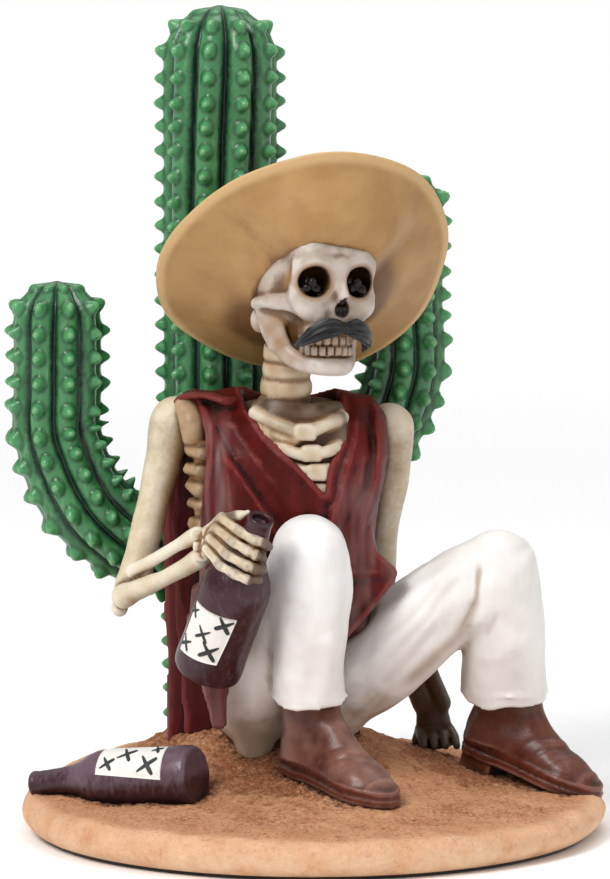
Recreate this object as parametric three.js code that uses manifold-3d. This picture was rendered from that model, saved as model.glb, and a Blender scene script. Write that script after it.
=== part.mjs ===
// Seated skeleton figurine with a cactus: one painted resin casting on a round sandy base, with a felt pad.
// Millimetres, +Z up. The origin is the centre of the pad's underside, and the figure faces -Y.
import * as THREE from 'three';
import { mergeVertices } from 'three/addons/utils/BufferGeometryUtils.js';
import Module from 'manifold-3d';

const wasm = await Module();
wasm.setup();

// Felt pad and sandy base
const BASE_RADIUS = 59.1; // widest, part of the way up the rim
const RIM_BULGE = 2.9; // how far the rim stands out beyond the casting's flat underside
const PAD_INSET = 0.6; // from the edge of the underside to the edge of the pad
const PAD_THICKNESS = 0.7;
const RIM_HEIGHT = 7.4; // level of the sand at the rim
const SEAT_MOUND = 7.5; // rise of the sand under the figure
const SEAT_SINK = 2.9; // how far the seat is sunk in the top of that rise
const TRUNK_MOUND = 8; // heap around the foot of the cactus
const SAND_TILT = 0.7; // how much higher the sand is at the left rim than in the middle

// Cactus
const TRUNK_X = -19.1;
const TRUNK_Y = 28;
const TRUNK_TOP = 166; // without the spines
const TRUNK_RADIUS = 11.6; // over the ribs
const TRUNK_FOOT_RADIUS = 10; // where it leaves the sand
const TRUNK_RIBS = 10;
const ARM_RIBS = 9;
const LEFT_ARM_RADIUS = 9;
const LEFT_ARM_TOP = 109.6;
const LEFT_ARM_JOIN = 52.8; // height at which the arm leaves the trunk
const LEFT_ARM_REACH = 33.6; // from trunk axis to arm axis
const RIGHT_ARM_RADIUS = 7.9;
const RIGHT_ARM_TOP = 131.6;
const RIGHT_ARM_JOIN = 68;
const RIGHT_ARM_REACH = 38.1;
const GROOVE_SHARE = 0.2; // depth of the groove between two ribs, as a share of the stem's radius
const SPINE_PITCH = 5.1;
const SPINE_HEIGHT = 1.8;

// Bottles: one in the hand and one fallen on the ground
const BOTTLE_LENGTH = 38.5;
const HELD_BOTTLE_RADIUS = 7.2;
const FALLEN_BOTTLE_RADIUS = 6.3;
const BOTTLE_NECK_RADIUS = 2.5;
const BOTTLE_LIP = 0.5; // how far the lip stands out from the neck
const BOTTLE_BODY = 21; // straight part of the bottle
const BOTTLE_SHOULDER = 7; // sloping part of the bottle

// Figure: the pose is drawn on a grid with this many parts to the figure's height
const FIGURE_HEIGHT = 125;
const GRID = 125;
const GRID_SEAT = 12; // level of the seat on the grid
const U = FIGURE_HEIGHT / GRID;
const SEAT_Z = RIM_HEIGHT + SEAT_MOUND - SEAT_SINK;

const TAU = 2 * Math.PI;
const V = (x, y, z) => new THREE.Vector3(x, y, z);
const P = (x, y, z) => V(x * U, y * U, SEAT_Z + (z - GRID_SEAT) * U);

// Height of the sand over the plan.
function sandAt(x, y) {
  const seat = SEAT_MOUND * Math.exp(-((x - 4) ** 2) / 800 - (y - 16) ** 2 / 1568);
  const heap = TRUNK_MOUND * Math.exp(-((x - TRUNK_X) ** 2 + (y - TRUNK_Y + 2) ** 2) / 400);
  const ripple = 0.35 * Math.sin(x * 0.31 + 1) * Math.sin(y * 0.27 + x * 0.08);
  return RIM_HEIGHT + seat + heap + ripple - (SAND_TILT * x) / BASE_RADIUS;
}

// Closed geometry through a row of rings. Each end is a fan to its tip, or to the ring's middle.
function skin(rings, startTip, endTip) {
  const n = rings[0].length;
  const middle = (ring) => ring.reduce((sum, v) => sum.add(v), V(0, 0, 0)).divideScalar(n);
  const points = [...rings.flat(), startTip ?? middle(rings[0]), endTip ?? middle(rings.at(-1))];
  const start = rings.length * n;
  const last = (rings.length - 1) * n;
  const faces = [];
  for (let j = 0; j < n; j++) {
    const k = (j + 1) % n;
    faces.push(start, k, j, start + 1, last + j, last + k);
    for (let i = 0; i < last; i += n) faces.push(i + j, i + k, i + n + k, i + j, i + n + k, i + n + j);
  }
  return closed(points, faces);
}

// Indexed geometry turned so that its faces point outwards.
function closed(points, faces) {
  let volume = 0;
  for (let i = 0; i < faces.length; i += 3) {
    const [a, b, c] = [points[faces[i]], points[faces[i + 1]], points[faces[i + 2]]];
    volume += a.dot(V(0, 0, 0).crossVectors(b, c));
  }
  if (volume < 0) {
    for (let i = 0; i < faces.length; i += 3) [faces[i], faces[i + 1]] = [faces[i + 1], faces[i]];
  }
  return new THREE.BufferGeometry().setFromPoints(points).setIndex(faces);
}

function solid(geometry) {
  geometry.deleteAttribute('normal');
  geometry.deleteAttribute('uv');
  const merged = mergeVertices(geometry, 1e-4);
  return new wasm.Manifold(
    new wasm.Mesh({
      numProp: 3,
      vertProperties: merged.attributes.position.array,
      triVerts: new Uint32Array(merged.index.array),
    }),
  );
}

const join = (solids) => wasm.Manifold.union(solids);

function geometryOf(manifold) {
  const mesh = manifold.getMesh();
  const geometry = new THREE.BufferGeometry();
  geometry.setAttribute('position', new THREE.BufferAttribute(mesh.vertProperties, 3));
  geometry.setIndex(new THREE.BufferAttribute(mesh.triVerts, 1));
  geometry.computeVertexNormals();
  return geometry;
}

// Limb through points. Each radius is one number, or a pair: along the wide direction and across it.
// Its two ends are round, a point or flat. The fold function changes a ring's radius by angle and by place.
function limb(points, radii, options = {}) {
  const { sides = 8, steps = 1, wide = V(1, 0, 0), ends = ['round', 'round'], fold } = options;
  const curve = new THREE.CatmullRomCurve3(points, false, 'centripetal');
  const count = (points.length - 1) * steps;
  const pair = (r) => (Array.isArray(r) ? r : [r, r]).map((v) => v * U);
  const rings = [];
  const ringAt = (t, along, shrink) => {
    const at = t * (points.length - 1);
    const i = Math.min(Math.floor(at), points.length - 2);
    const ease = THREE.MathUtils.smoothstep(at - i, 0, 1);
    const [from, to] = [pair(radii[i]), pair(radii[i + 1])];
    const a = THREE.MathUtils.lerp(from[0], to[0], ease);
    const b = THREE.MathUtils.lerp(from[1], to[1], ease);
    const tangent = curve.getTangent(t);
    const across = V(0, 0, 0).crossVectors(tangent, wide).normalize();
    const side = V(0, 0, 0).crossVectors(across, tangent).normalize();
    const centre = curve.getPoint(t).addScaledVector(tangent, along * Math.min(a, b));
    if (shrink === 0) return centre;
    return Array.from({ length: sides }, (_, j) => {
      const angle = (j / sides) * TAU;
      const f = shrink * (fold ? fold(angle, t) : 1);
      return centre.clone()
        .addScaledVector(side, Math.cos(angle) * a * f)
        .addScaledVector(across, Math.sin(angle) * b * f);
    });
  };
  if (ends[0] === 'round') rings.push(ringAt(0, -0.7, 0.7));
  for (let i = 0; i <= count; i++) rings.push(ringAt(i / count, 0, 1));
  if (ends[1] === 'round') rings.push(ringAt(1, 0.7, 0.7));
  const tip = (t, k) => (ends[t] === 'flat' ? null : ringAt(t, ends[t] === 'round' ? k : k * 0.6, 0));
  return solid(skin(rings, tip(0, -1), tip(1, 1)));
}

function ball(centre, size, sides = 10) {
  const geometry = new THREE.SphereGeometry(1, sides, Math.round(sides * 0.7));
  geometry.scale(size[0] * U, size[1] * U, size[2] * U);
  return solid(geometry.translate(centre.x, centre.y, centre.z));
}

// A shape in the XZ plane drawn out along Y from near to far, used as a cutter.
function cutter(outline, near, far) {
  const shape = new THREE.Shape(outline.map(([x, z]) => P(x, 0, z)).map((v) => new THREE.Vector2(v.x, v.z)));
  const geometry = new THREE.ExtrudeGeometry(shape, { depth: (far - near) * U, bevelEnabled: false });
  return solid(geometry.rotateX(Math.PI / 2).translate(0, far * U, 0));
}

// Sandy base
function base() {
  const sides = 32;
  const ring = (radius, height) => Array.from({ length: sides }, (_, j) => {
    const angle = (j / sides) * TAU;
    const [x, y] = [radius * Math.cos(angle), radius * Math.sin(angle)];
    return V(x, y, height ?? sandAt(x, y));
  });
  const rings = [
    ring(BASE_RADIUS - RIM_BULGE, PAD_THICKNESS),
    ring(BASE_RADIUS, RIM_HEIGHT * 0.66),
    ring(BASE_RADIUS - 1.1, RIM_HEIGHT * 0.87),
    ...[0.93, 0.74, 0.52, 0.28].map((share) => ring(BASE_RADIUS * share)),
  ];
  return solid(skin(rings, V(0, 0, PAD_THICKNESS), V(0, 0, sandAt(0, 0))));
}

// Ribbed stem with a domed top. Each rib carries a row of short blunt spines.
function stem(points, radius, footRadius, ribs, turn) {
  const curve = new THREE.CatmullRomCurve3(points, false, 'centripetal');
  curve.arcLengthDivisions = 400;
  const length = curve.getLength();
  const dome = radius * 0.95;
  const straight = length - dome;
  const total = straight + dome * 1.25;
  const levels = Math.round(total / SPINE_PITCH);
  const vertices = [];
  const add = (run, angle, share, lift) => {
    const rise = Math.max(0, (run - straight) / dome) * 1.08;
    const t = (Math.min(run, straight) + dome * Math.sin(rise)) / length;
    const tangent = curve.getTangentAt(t);
    const across = V(0, 0, 0).crossVectors(tangent, V(1, 0, 0.02)).normalize();
    const side = V(0, 0, 0).crossVectors(across, tangent).normalize();
    const out = side.multiplyScalar(Math.cos(angle)).addScaledVector(across, Math.sin(angle));
    const width = THREE.MathUtils.lerp(footRadius, radius, Math.min(1, (2 * run) / length));
    const point = curve.getPointAt(t)
      .addScaledVector(out, (width * share + lift) * Math.cos(rise))
      .addScaledVector(tangent, lift * Math.sin(rise));
    return { run, index: vertices.push(point) - 1 };
  };
  const ridge = (angle) => Array.from({ length: 2 * levels }, (_, i) =>
    add((i / 2 + 0.1) * (total / levels), angle, 1, i % 2 ? SPINE_HEIGHT : 0));
  const groove = (angle) => Array.from({ length: levels }, (_, i) =>
    add((i + 0.6) * (total / levels), angle, 1 - GROOVE_SHARE, 0));
  const ridges = Array.from({ length: ribs }, (_, k) => ridge(turn + (k / ribs) * TAU));
  const grooves = Array.from({ length: ribs }, (_, k) => groove(turn + ((k + 0.5) / ribs) * TAU));
  const foot = { index: vertices.push(curve.getPointAt(0)) - 1 };
  const tip = { index: vertices.push(curve.getPointAt(1)) - 1 };
  const faces = [];
  const strip = (row, line, flip) => {
    const face = (a, b, c) => faces.push(a.index, ...(flip ? [c.index, b.index] : [b.index, c.index]));
    face(foot, line[0], row[0]);
    let [i, j] = [0, 0];
    while (i + 1 < row.length || j + 1 < line.length) {
      const rowIsNearer = line[j + 1] ? row[i + 1]?.run + row[i].run < line[j + 1].run + line[j].run : true;
      if (rowIsNearer) face(line[j], row[i + 1], row[i++]);
      else face(line[j], line[++j], row[i]);
    }
    face(tip, row.at(-1), line.at(-1));
  };
  for (let k = 0; k < ribs; k++) {
    strip(ridges[k], grooves[k], false);
    strip(ridges[k], grooves[(k + ribs - 1) % ribs], true);
  }
  return solid(closed(vertices, faces));
}

function cactus() {
  const trunk = [V(TRUNK_X, TRUNK_Y, RIM_HEIGHT + 4), V(TRUNK_X, TRUNK_Y, TRUNK_TOP)];
  const elbow = (side, reach, start, top, radius, depth) => {
    const bend = radius * 1.6;
    const x = TRUNK_X + side * reach;
    return [
      V(TRUNK_X + side * TRUNK_RADIUS * 0.3, TRUNK_Y, start),
      V(TRUNK_X + side * (reach - bend * 1.35), TRUNK_Y + depth * 0.6, start + 0.12 * bend),
      V(TRUNK_X + side * (reach - bend * 0.45), TRUNK_Y + depth, start + bend * 0.72),
      V(x, TRUNK_Y + depth, start + bend * 1.75),
      V(x, TRUNK_Y + depth, (start + bend + top) / 2),
      V(x, TRUNK_Y + depth, top),
    ];
  };
  const left = elbow(-1, LEFT_ARM_REACH, LEFT_ARM_JOIN, LEFT_ARM_TOP, LEFT_ARM_RADIUS, -6);
  const right = elbow(1, RIGHT_ARM_REACH, RIGHT_ARM_JOIN, RIGHT_ARM_TOP, RIGHT_ARM_RADIUS, 2);
  return [
    stem(trunk, TRUNK_RADIUS, TRUNK_FOOT_RADIUS, TRUNK_RIBS, 0.1),
    stem(left, LEFT_ARM_RADIUS, LEFT_ARM_RADIUS, ARM_RIBS, 0.2),
    stem(right, RIGHT_ARM_RADIUS, RIGHT_ARM_RADIUS, ARM_RIBS, 0.5),
  ];
}

// Bottle of one radius, with its base at one point and its mouth towards another.
function bottle(radius, foot, mouth) {
  const profile = [
    [0, 0],
    [radius - 0.8, 0],
    [radius, 0.9],
    [radius, BOTTLE_BODY],
    [radius * 0.84, BOTTLE_BODY + BOTTLE_SHOULDER * 0.4],
    [BOTTLE_NECK_RADIUS * 1.25, BOTTLE_BODY + BOTTLE_SHOULDER],
    [BOTTLE_NECK_RADIUS, BOTTLE_LENGTH - 2.2],
    [BOTTLE_NECK_RADIUS + BOTTLE_LIP, BOTTLE_LENGTH - 2],
    [BOTTLE_NECK_RADIUS + BOTTLE_LIP, BOTTLE_LENGTH],
    [BOTTLE_NECK_RADIUS * 0.6, BOTTLE_LENGTH],
    [0, BOTTLE_LENGTH - 1.5],
  ].map(([r, z]) => new THREE.Vector2(r, z));
  const turn = new THREE.Quaternion().setFromUnitVectors(V(0, 1, 0), mouth.clone().sub(foot).normalize());
  return solid(new THREE.LatheGeometry(profile, 10).applyQuaternion(turn).translate(foot.x, foot.y, foot.z));
}

// Hat tipped back on the head, its brim seen from below and its crown against the cactus.
function hat() {
  const centre = P(-1.2, -0.6, 113.9);
  const up = V(-0.185, 0.74, 0.65).normalize();
  const along = V(0.966, 0, 0.259);
  const across = V(0, 0, 0).crossVectors(up, along).normalize();
  along.crossVectors(across, up).normalize();
  const sides = 28;
  const ring = (radius, height, wave = 0) => Array.from({ length: sides }, (_, j) => {
    const a = (j / sides) * TAU;
    const lift = height + wave * (Math.cos(2 * a + 0.5) + 0.5 * Math.cos(3 * a - 1));
    const reach = radius * (1 + 0.02 * wave * Math.cos(3 * a + 2.3));
    return centre.clone()
      .addScaledVector(along, reach * Math.cos(a) * U)
      .addScaledVector(across, reach * Math.sin(a) * U)
      .addScaledVector(up, lift * U);
  });
  const tip = (height) => centre.clone().addScaledVector(up, height * U);
  const rings = [
    ring(12, -0.9), ring(22.5, -0.8, 0.6), ring(29.2, 0.7, 1), ring(29.9, 1.7, 1),
    ring(28, 2.4, 1), ring(14.4, 1.6), ring(12.6, 10), ring(9, 16),
  ];
  return solid(skin(rings, tip(-0.6), tip(17.4)));
}

// Head in its own frame: the skull faces -Y, and the origin is behind the bridge of the nose.
function head() {
  const place = new THREE.Matrix4()
    .makeRotationFromEuler(new THREE.Euler(0.02, 0.03, THREE.MathUtils.degToRad(27)))
    .setPosition(P(0.3, -10.2, 110.8));
  const q = ([x, y, z]) => V(x * U, y * U, z * U);
  const mirrored = (list) => [...list.map(([x, y, z]) => [-x, y, z]), ...list.slice(0, -1).reverse()].map(q);
  const bone = [
    ball(q([0, 1.6, -1.2]), [10.8, 12, 9.8], 12),
    limb([q([0, -3.6, 5]), q([0, -5.6, 3.4]), q([0, -5.2, -0.6]), q([0, -5.6, -4.6]), q([0, -5.6, -9.2])],
      [[9.2, 6], [10.2, 7.2], [9.8, 6.2], [8.2, 5.8], [5.8, 5.4]], { sides: 10, ends: ['point', 'point'] }),
    limb([q([0, -6, -9.6]), q([0, -6, -11.9]), q([0, -6, -14.2])], [[5.6, 5.5], [4.9, 4.8], [5.2, 4.9]],
      { ends: ['flat', 'flat'] }),
    limb(mirrored([[9.8, 2.4, -5], [7, 1, -13], [6, -5.4, -15], [4, -9, -15.1], [0, -10.4, -15.1]]),
      [[2.6, 1.2], [2.4, 1.5], [2, 1.8], [2.1, 2], [2.1, 2], [2.1, 2], [2, 1.8], [2.4, 1.5], [2.6, 1.2]],
      { sides: 5, wide: V(0, 0, 1), ends: ['point', 'point'] }),
  ];
  for (const side of [-1, 1]) {
    const cheek = [q([11.2 * side, 3.4, -4.4]), q([10.4 * side, -4, -4.2]), q([6.4 * side, -9.6, -6])];
    bone.push(limb(cheek, [1.5, 2, 2], { sides: 5, ends: ['point', 'point'] }));
  }
  const hollows = [-1, 1].map((side) => ball(q([5.5 * side, -12, 0.6]), [3.4, 4, 3.3], 7));
  hollows.push(ball(q([0, -12.8, -4]), [1.8, 2.8, 2.1], 6));
  const moustache = limb(mirrored([[8.8, -8.6, -11.6], [6.6, -10.4, -9], [3.4, -12, -7.4], [0, -12, -7.2]]),
    [0.7, 1.7, 2.1, 1.6, 2.1, 1.7, 0.7], { sides: 5, wide: V(0, 0, 1), ends: ['point', 'point'] });
  return join([join(bone).subtract(join(hollows)), moustache]).transform(place.elements);
}

function neck() {
  const count = 8;
  const share = Array.from({ length: count + 1 }, (_, i) => i / count);
  const points = share.map((t) => P(-4.6 - 0.2 * t, -4.5 + 4 * t, 101 - 22 * t));
  const radii = share.map((t, i) => (i % 2 ? 5.1 : 4.3) + 2.4 * Math.max(0, t - 0.7));
  return limb(points, radii, { ends: ['flat', 'flat'] });
}

// Trunk of the body: breastbone, collar bones and ribs show in the neck of the vest, and ribs at its side.
function chest() {
  const ends = ['point', 'point'];
  const bone = (list, radii) => limb(list.map((v) => P(...v)), radii, { sides: 5, ends });
  const bones = [
    limb([P(-6, 4, 84.4), P(-5.6, 2, 75), P(-5, 1, 62), P(-3.6, 6, 26)],
      [[16, 5.5], [16.6, 9], [14.6, 9.6], [11, 8]], { sides: 9 }),
    bone([[-0.6, -8, 82], [0.8, -10, 76], [1.8, -10, 67]], [[2.6, 1.6], [1.8, 1.4], [1.4, 1.3]]),
    bone([[-14, -2.4, 84.6], [-9, -6, 83.4], [-2, -9, 80.4]], [1.7, 1.5, 1.8]),
    bone([[9, -1.6, 84.6], [5, -6, 84], [0.4, -9, 80.6]], [1.6, 1.5, 1.8]),
  ];
  for (let i = 0; i < 2; i++) {
    const [z, low] = [77.4 - 4.2 * i, 74 - 4.6 * i];
    bones.push(bone([[-13, -5, z + 1], [-5.6, -9.2, z - 0.4], [0, -10.2, z - 1.8]], [1.3, 1.4, 1.3]));
    bones.push(bone([[9, -5, z + 1], [5, -8.8, z - 0.2], [1.8, -10, z - 1.4]], [1.3, 1.4, 1.3]));
    bones.push(bone([[-20.6, 4, low], [-21.4, -1, low - 1], [-17, -6, low - 2.4]], [1.3, 1.4, 1.3]));
  }
  return bones;
}

// Sleeveless poncho vest: folds run down from the shoulders, the neck is a deep V and the sides are open.
function vest() {
  const sides = 26;
  const levels = [
    [20, -7, 4, 18.6, 11.6], [40, -6.5, 2.4, 18, 12.8], [54, -6.2, 1, 17.2, 12.8], [66, -6, 0.4, 18, 12.8],
    [76, -6, 0.9, 19.6, 11.8], [83, -6.3, 2.6, 20.4, 9.6], [87.4, -6.6, 4.6, 16.4, 5.8],
  ];
  const ring = ([z, cx, cy, rx, ry]) => Array.from({ length: sides }, (_, j) => {
    const a = (j / sides) * TAU;
    const drop = THREE.MathUtils.clamp((87 - z) / 34, 0, 1);
    const folds = 1 + drop * (0.07 * Math.cos(7 * a + z * 0.06) + 0.03 * Math.cos(4 * a - z * 0.05));
    const square = 1 + 0.1 * Math.sin(2 * a) ** 2;
    const side = rx * square * (1 + (folds - 1) * 0.4);
    return P(cx + side * Math.sin(a), cy - ry * square * folds * Math.cos(a), z);
  });
  const body = solid(skin(levels.map(ring), null, P(-6.6, 5, 88.8)));
  const neckline = cutter([[-17, 95], [-14.6, 87], [-7.8, 78.4], [2.4, 68], [6.4, 79], [6.6, 95]], -30, 0);
  const throat = limb([P(-4.6, 0, 74), P(-4.8, 2, 96)], [10.6, 11], { sides: 9, ends: ['flat', 'flat'] });
  const armhole = ball(P(-27, -0.6, 68.6), [7, 4.8, 10.5], 8);
  const legs = [[-30, 5], [-27, 30], [-17, 40], [-12, 52], [4, 48], [7, 40.5], [18, 54], [40, 54], [40, 5]];
  const lap = cutter(legs, -30, -2);
  return body.subtract(join([neckline, throat, armhole, lap]));
}

// Front hem of the vest over the left thigh, and its tail beside the right thigh.
function hems() {
  return [
    limb([P(2, -5, 53), P(8, -6.6, 49.4), P(15.6, -5, 52.4)], [[2.4, 8], [1.8, 7], [1.2, 2.4]],
      { sides: 8, wide: V(0, 1, 0), ends: ['round', 'point'] }),
    limb([P(-21, -6, 44), P(-20.6, -8.4, 30), P(-19.6, -8.6, 19)], [[4.6, 2.4], [3.6, 2], [2.8, 1.6]]),
  ];
}

// Back of the poncho, hanging to the ground between the figure and the cactus.
function backCloth() {
  const fold = (a, t) => 1 + 0.12 * Math.cos(5 * a + 3 * t);
  return limb([P(-6.6, 8.5, 83), P(-7.6, 10.5, 66), P(-8, 12, 46), P(-8.4, 13, 28), P(-8.4, 13, 16)],
    [[18.6, 3.5], [19.6, 3.6], [19, 4], [18.6, 4.6], [19, 5]], { sides: 14, fold });
}

function arms() {
  const bone = (points, radii, sides = 6) => limb(points.map((v) => P(...v)), radii, { sides });
  return [
    bone([[-28.6, 5.5, 81.6], [-30.2, 4, 75], [-32.6, 1.6, 65], [-35, -1.2, 55.6], [-36, -3.2, 50]],
      [4.8, 3.9, 3.3, 3.5, 4.8], 7),
    bone([[-37.6, -4.2, 47.2], [-34, -8, 50], [-27.6, -15, 54.6], [-22, -20.6, 58.2]], [3.8, 3, 2.4, 2.4]),
    bone([[-35.8, -5.4, 52.6], [-32, -9.6, 55.6], [-26.6, -16, 59.6], [-22.4, -21.4, 62.6]],
      [2.5, 1.7, 1.6, 2]),
    bone([[15.8, 6, 80.6], [16.4, 7.4, 72], [14.6, 9, 60], [13.4, 11, 47]], [4.7, 3.2, 2.8, 3.6], 8),
    bone([[14, 11.5, 45.6], [18.4, 17, 34], [23, 23, 22]], [2.9, 2.6, 2.4], 5),
    bone([[16.4, 11, 45.6], [21.6, 17, 35], [26.8, 23.5, 22]], [2, 1.8, 2], 5),
  ];
}

// Right hand closed round the neck of the bottle, and left hand flat on the ground behind.
function hands() {
  const finger = (list, radius) => limb(list.map((v) => P(...v)), list.map(() => radius), {
    sides: 5, ends: ['point', 'point'],
  });
  const parts = [
    limb([P(-22.8, -20.8, 60.6), P(-19.8, -24.6, 62), P(-17.4, -27.4, 62)],
      [[3.2, 3.8], [2.6, 4.6], [2.2, 5]], { wide: V(0.6, 0.7, 0) }),
    finger([[-18.6, -27, 66.2], [-13.4, -31.2, 63.8], [-9.6, -32, 61.8], [-7.4, -29.6, 61.2]], 1.4),
    finger([[-19.6, -27, 64.2], [-15.3, -31.2, 61.4], [-10.6, -31.8, 59], [-8.6, -29, 58.6]], 1.4),
    finger([[-20.4, -26.6, 62], [-16.6, -30.6, 58.8], [-11.6, -31.2, 56.6], [-9.8, -28.6, 56.2]], 1.35),
    finger([[-21, -25.6, 59.8], [-17.6, -29.6, 56.2], [-12.8, -30.4, 54.1], [-11.2, -28, 53.6]], 1.25),
    finger([[-19.6, -24, 64.4], [-15.9, -27.4, 66.8], [-12.7, -29.8, 67.4]], 1.6),
    limb([P(24.4, 23.4, 22), P(25.2, 24, 17.4), P(25.4, 24, 14)], [[3, 2.2], [3.8, 2.2], [5, 2]],
      { sides: 7 }),
  ];
  for (let i = 0; i < 4; i++) {
    const out = (i - 1.5) * 2.3;
    const list = [[25.4 + out, 24, 15], [26 + out * 1.4, 20.6, 13.4], [26.4 + out * 1.7, 17.6, 11.4]];
    parts.push(finger(list, 1.15));
  }
  return parts;
}

// Trousers: each leg is bent at the knee, with creases that gather at the knee and the hip.
function trousers() {
  const crease = (count, size, twist) => (a, t) => 1 + size * Math.cos(count * a + twist * t);
  const leg = (list, radii, options) => limb(list.map((v) => P(...v)), radii, { sides: 10, ...options });
  const hem = { ends: ['round', 'flat'] };
  return [
    limb([P(-10, 7, 24), P(6, 9, 24)], [[9.6, 10.5], [9.6, 10.5]], { sides: 10, wide: V(0, 1, 0) }),
    leg([[-12, 6, 24.6], [-10.2, 0, 31], [-7, -6.6, 40.6], [-3.4, -12.6, 49.4], [-0.8, -17.6, 57.6]],
      [[8.2, 9.2], [8.6, 9.2], [8.2, 8.8], [7.8, 8.2], [7.4, 7.6]], { fold: crease(4, 0.03, 7) }),
    leg([[-0.6, -17.4, 59], [-0.1, -17.2, 52], [-0.4, -16, 44], [-0.9, -14, 34.6], [-0.7, -11.4, 22.8]],
      [[7, 7.4], [8, 8], [7.7, 7.7], [7.4, 7.5], [7.2, 7.6]], { ...hem, fold: crease(5, 0.035, 5) }),
    leg([[4, 8, 25], [12, 5.8, 32.6], [20, 3.8, 40.2], [29, 2.2, 47.8], [37, 1.6, 53]],
      [[9.4, 9.8], [10, 9.4], [9.8, 9.3], [9.2, 8.6], [8, 7.6]],
      { wide: V(0, 1, 0), fold: crease(4, 0.035, 6) }),
    leg([[38.2, 1.2, 53.2], [38.8, 2.4, 47], [38.8, 4.8, 39], [38.8, 7, 31], [39.2, 9, 22.6]],
      [[7.4, 7.6], [8.4, 8.4], [8.8, 8.6], [8.6, 8.3], [8.5, 8.2]], { ...hem, fold: crease(5, 0.035, 6) }),
  ];
}

// Ankle boot in its own frame: the sole is at height 0, the heel's back at 0 and the toe points along +X.
function boot(heel, yaw, pitch) {
  const place = new THREE.Matrix4()
    .makeRotationFromEuler(new THREE.Euler(0, pitch, yaw, 'ZYX'))
    .setPosition(P(...heel));
  const q = (x, y, z) => V(x * U, y * U, z * U);
  const upper = limb([q(3.6, 0, 5), q(11, 0, 6.6), q(18, 0, 5), q(25, 0, 3.8), q(30, 0, 3)],
    [[4.8, 5], [5.6, 6.2], [5.6, 5], [5.4, 3.4], [4, 2.2]], { sides: 9, wide: V(0, 1, 0) });
  const shaft = limb([q(7.6, 0, 5), q(7.6, 0, 13.6)], [[7, 5.8], [6.9, 6.5]],
    { sides: 9, ends: ['flat', 'flat'] });
  const half = [[-0.6, 0], [1.4, 4.2], [8, 4.8], [15, 4.8], [22.6, 6], [29, 4.6], [32, 0]];
  const outline = [...half, ...half.slice(1, -1).reverse().map(([x, y]) => [x, -y])];
  const path = new THREE.CatmullRomCurve3(outline.map(([x, y]) => q(x, y, 0)), true);
  const sole = new THREE.Shape(path.getPoints(14).slice(0, -1).map((v) => new THREE.Vector2(v.x, v.y)));
  const slab = new THREE.ExtrudeGeometry(sole, { depth: 1.6 * U, bevelEnabled: false });
  const block = new THREE.BoxGeometry(8.4 * U, 8 * U, 2 * U).translate(4 * U, 0, -0.7 * U);
  return join([upper, shaft, solid(slab), solid(block)]).transform(place.elements);
}

const fallenFoot = V(-23, -19, sandAt(-23, -19) + FALLEN_BOTTLE_RADIUS * 0.85);
const figurine = join([
  base(),
  ...cactus(),
  hat(),
  head(),
  neck(),
  ...chest(),
  vest(),
  ...hems(),
  backCloth(),
  ...arms(),
  ...hands(),
  ...trousers(),
  boot([-4.6, -4.4, 11.4], THREE.MathUtils.degToRad(-48), 0.06),
  boot([31.6, 16.2, 11.8], THREE.MathUtils.degToRad(-36), 0.17),
  bottle(HELD_BOTTLE_RADIUS, P(-20.8, -17.6, 35), P(-9.8, -31.6, 66)),
  bottle(FALLEN_BOTTLE_RADIUS, fallenFoot, V(-59.4, -2, RIM_HEIGHT + 2.4)),
]);

const padRadius = BASE_RADIUS - RIM_BULGE - PAD_INSET;
const pad = new THREE.CylinderGeometry(padRadius, padRadius, PAD_THICKNESS, 72)
  .rotateX(Math.PI / 2)
  .translate(0, 0, PAD_THICKNESS / 2);

const group = new THREE.Group();
const piece = (name, geometry, color, roughness) => {
  const mesh = new THREE.Mesh(geometry, new THREE.MeshStandardMaterial({ color, roughness, metalness: 0 }));
  mesh.name = name;
  group.add(mesh);
};
piece('figurine', geometryOf(figurine), 0xc9a27c, 0.55);
piece('felt_pad', pad, 0x2b2a28, 0.95);

export default group;
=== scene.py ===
# Looks of the seated skeleton figurine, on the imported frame. Shapes are worked in the part's own millimetres.
import functools
import math

import bpy
import numpy as np
import openvdb as vdb
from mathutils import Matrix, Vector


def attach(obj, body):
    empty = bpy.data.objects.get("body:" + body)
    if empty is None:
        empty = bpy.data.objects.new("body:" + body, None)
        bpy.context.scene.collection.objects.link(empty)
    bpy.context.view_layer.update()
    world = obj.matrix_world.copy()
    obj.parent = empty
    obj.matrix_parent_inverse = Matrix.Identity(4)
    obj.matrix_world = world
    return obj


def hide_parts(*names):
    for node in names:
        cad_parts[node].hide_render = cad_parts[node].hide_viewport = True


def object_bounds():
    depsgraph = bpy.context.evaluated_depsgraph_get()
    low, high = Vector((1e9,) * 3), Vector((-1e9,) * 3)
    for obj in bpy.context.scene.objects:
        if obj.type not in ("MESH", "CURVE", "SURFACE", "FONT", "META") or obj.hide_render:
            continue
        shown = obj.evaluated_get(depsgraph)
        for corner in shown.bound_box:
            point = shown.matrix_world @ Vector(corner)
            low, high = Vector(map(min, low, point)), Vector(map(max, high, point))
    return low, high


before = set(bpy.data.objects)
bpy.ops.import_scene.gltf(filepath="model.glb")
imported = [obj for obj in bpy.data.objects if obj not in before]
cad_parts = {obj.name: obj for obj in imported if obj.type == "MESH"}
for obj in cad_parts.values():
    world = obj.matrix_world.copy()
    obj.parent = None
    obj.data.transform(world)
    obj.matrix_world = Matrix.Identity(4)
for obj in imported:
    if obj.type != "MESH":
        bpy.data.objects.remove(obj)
cad_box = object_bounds()
MM = 0.001
COARSE = 1.0

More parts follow.
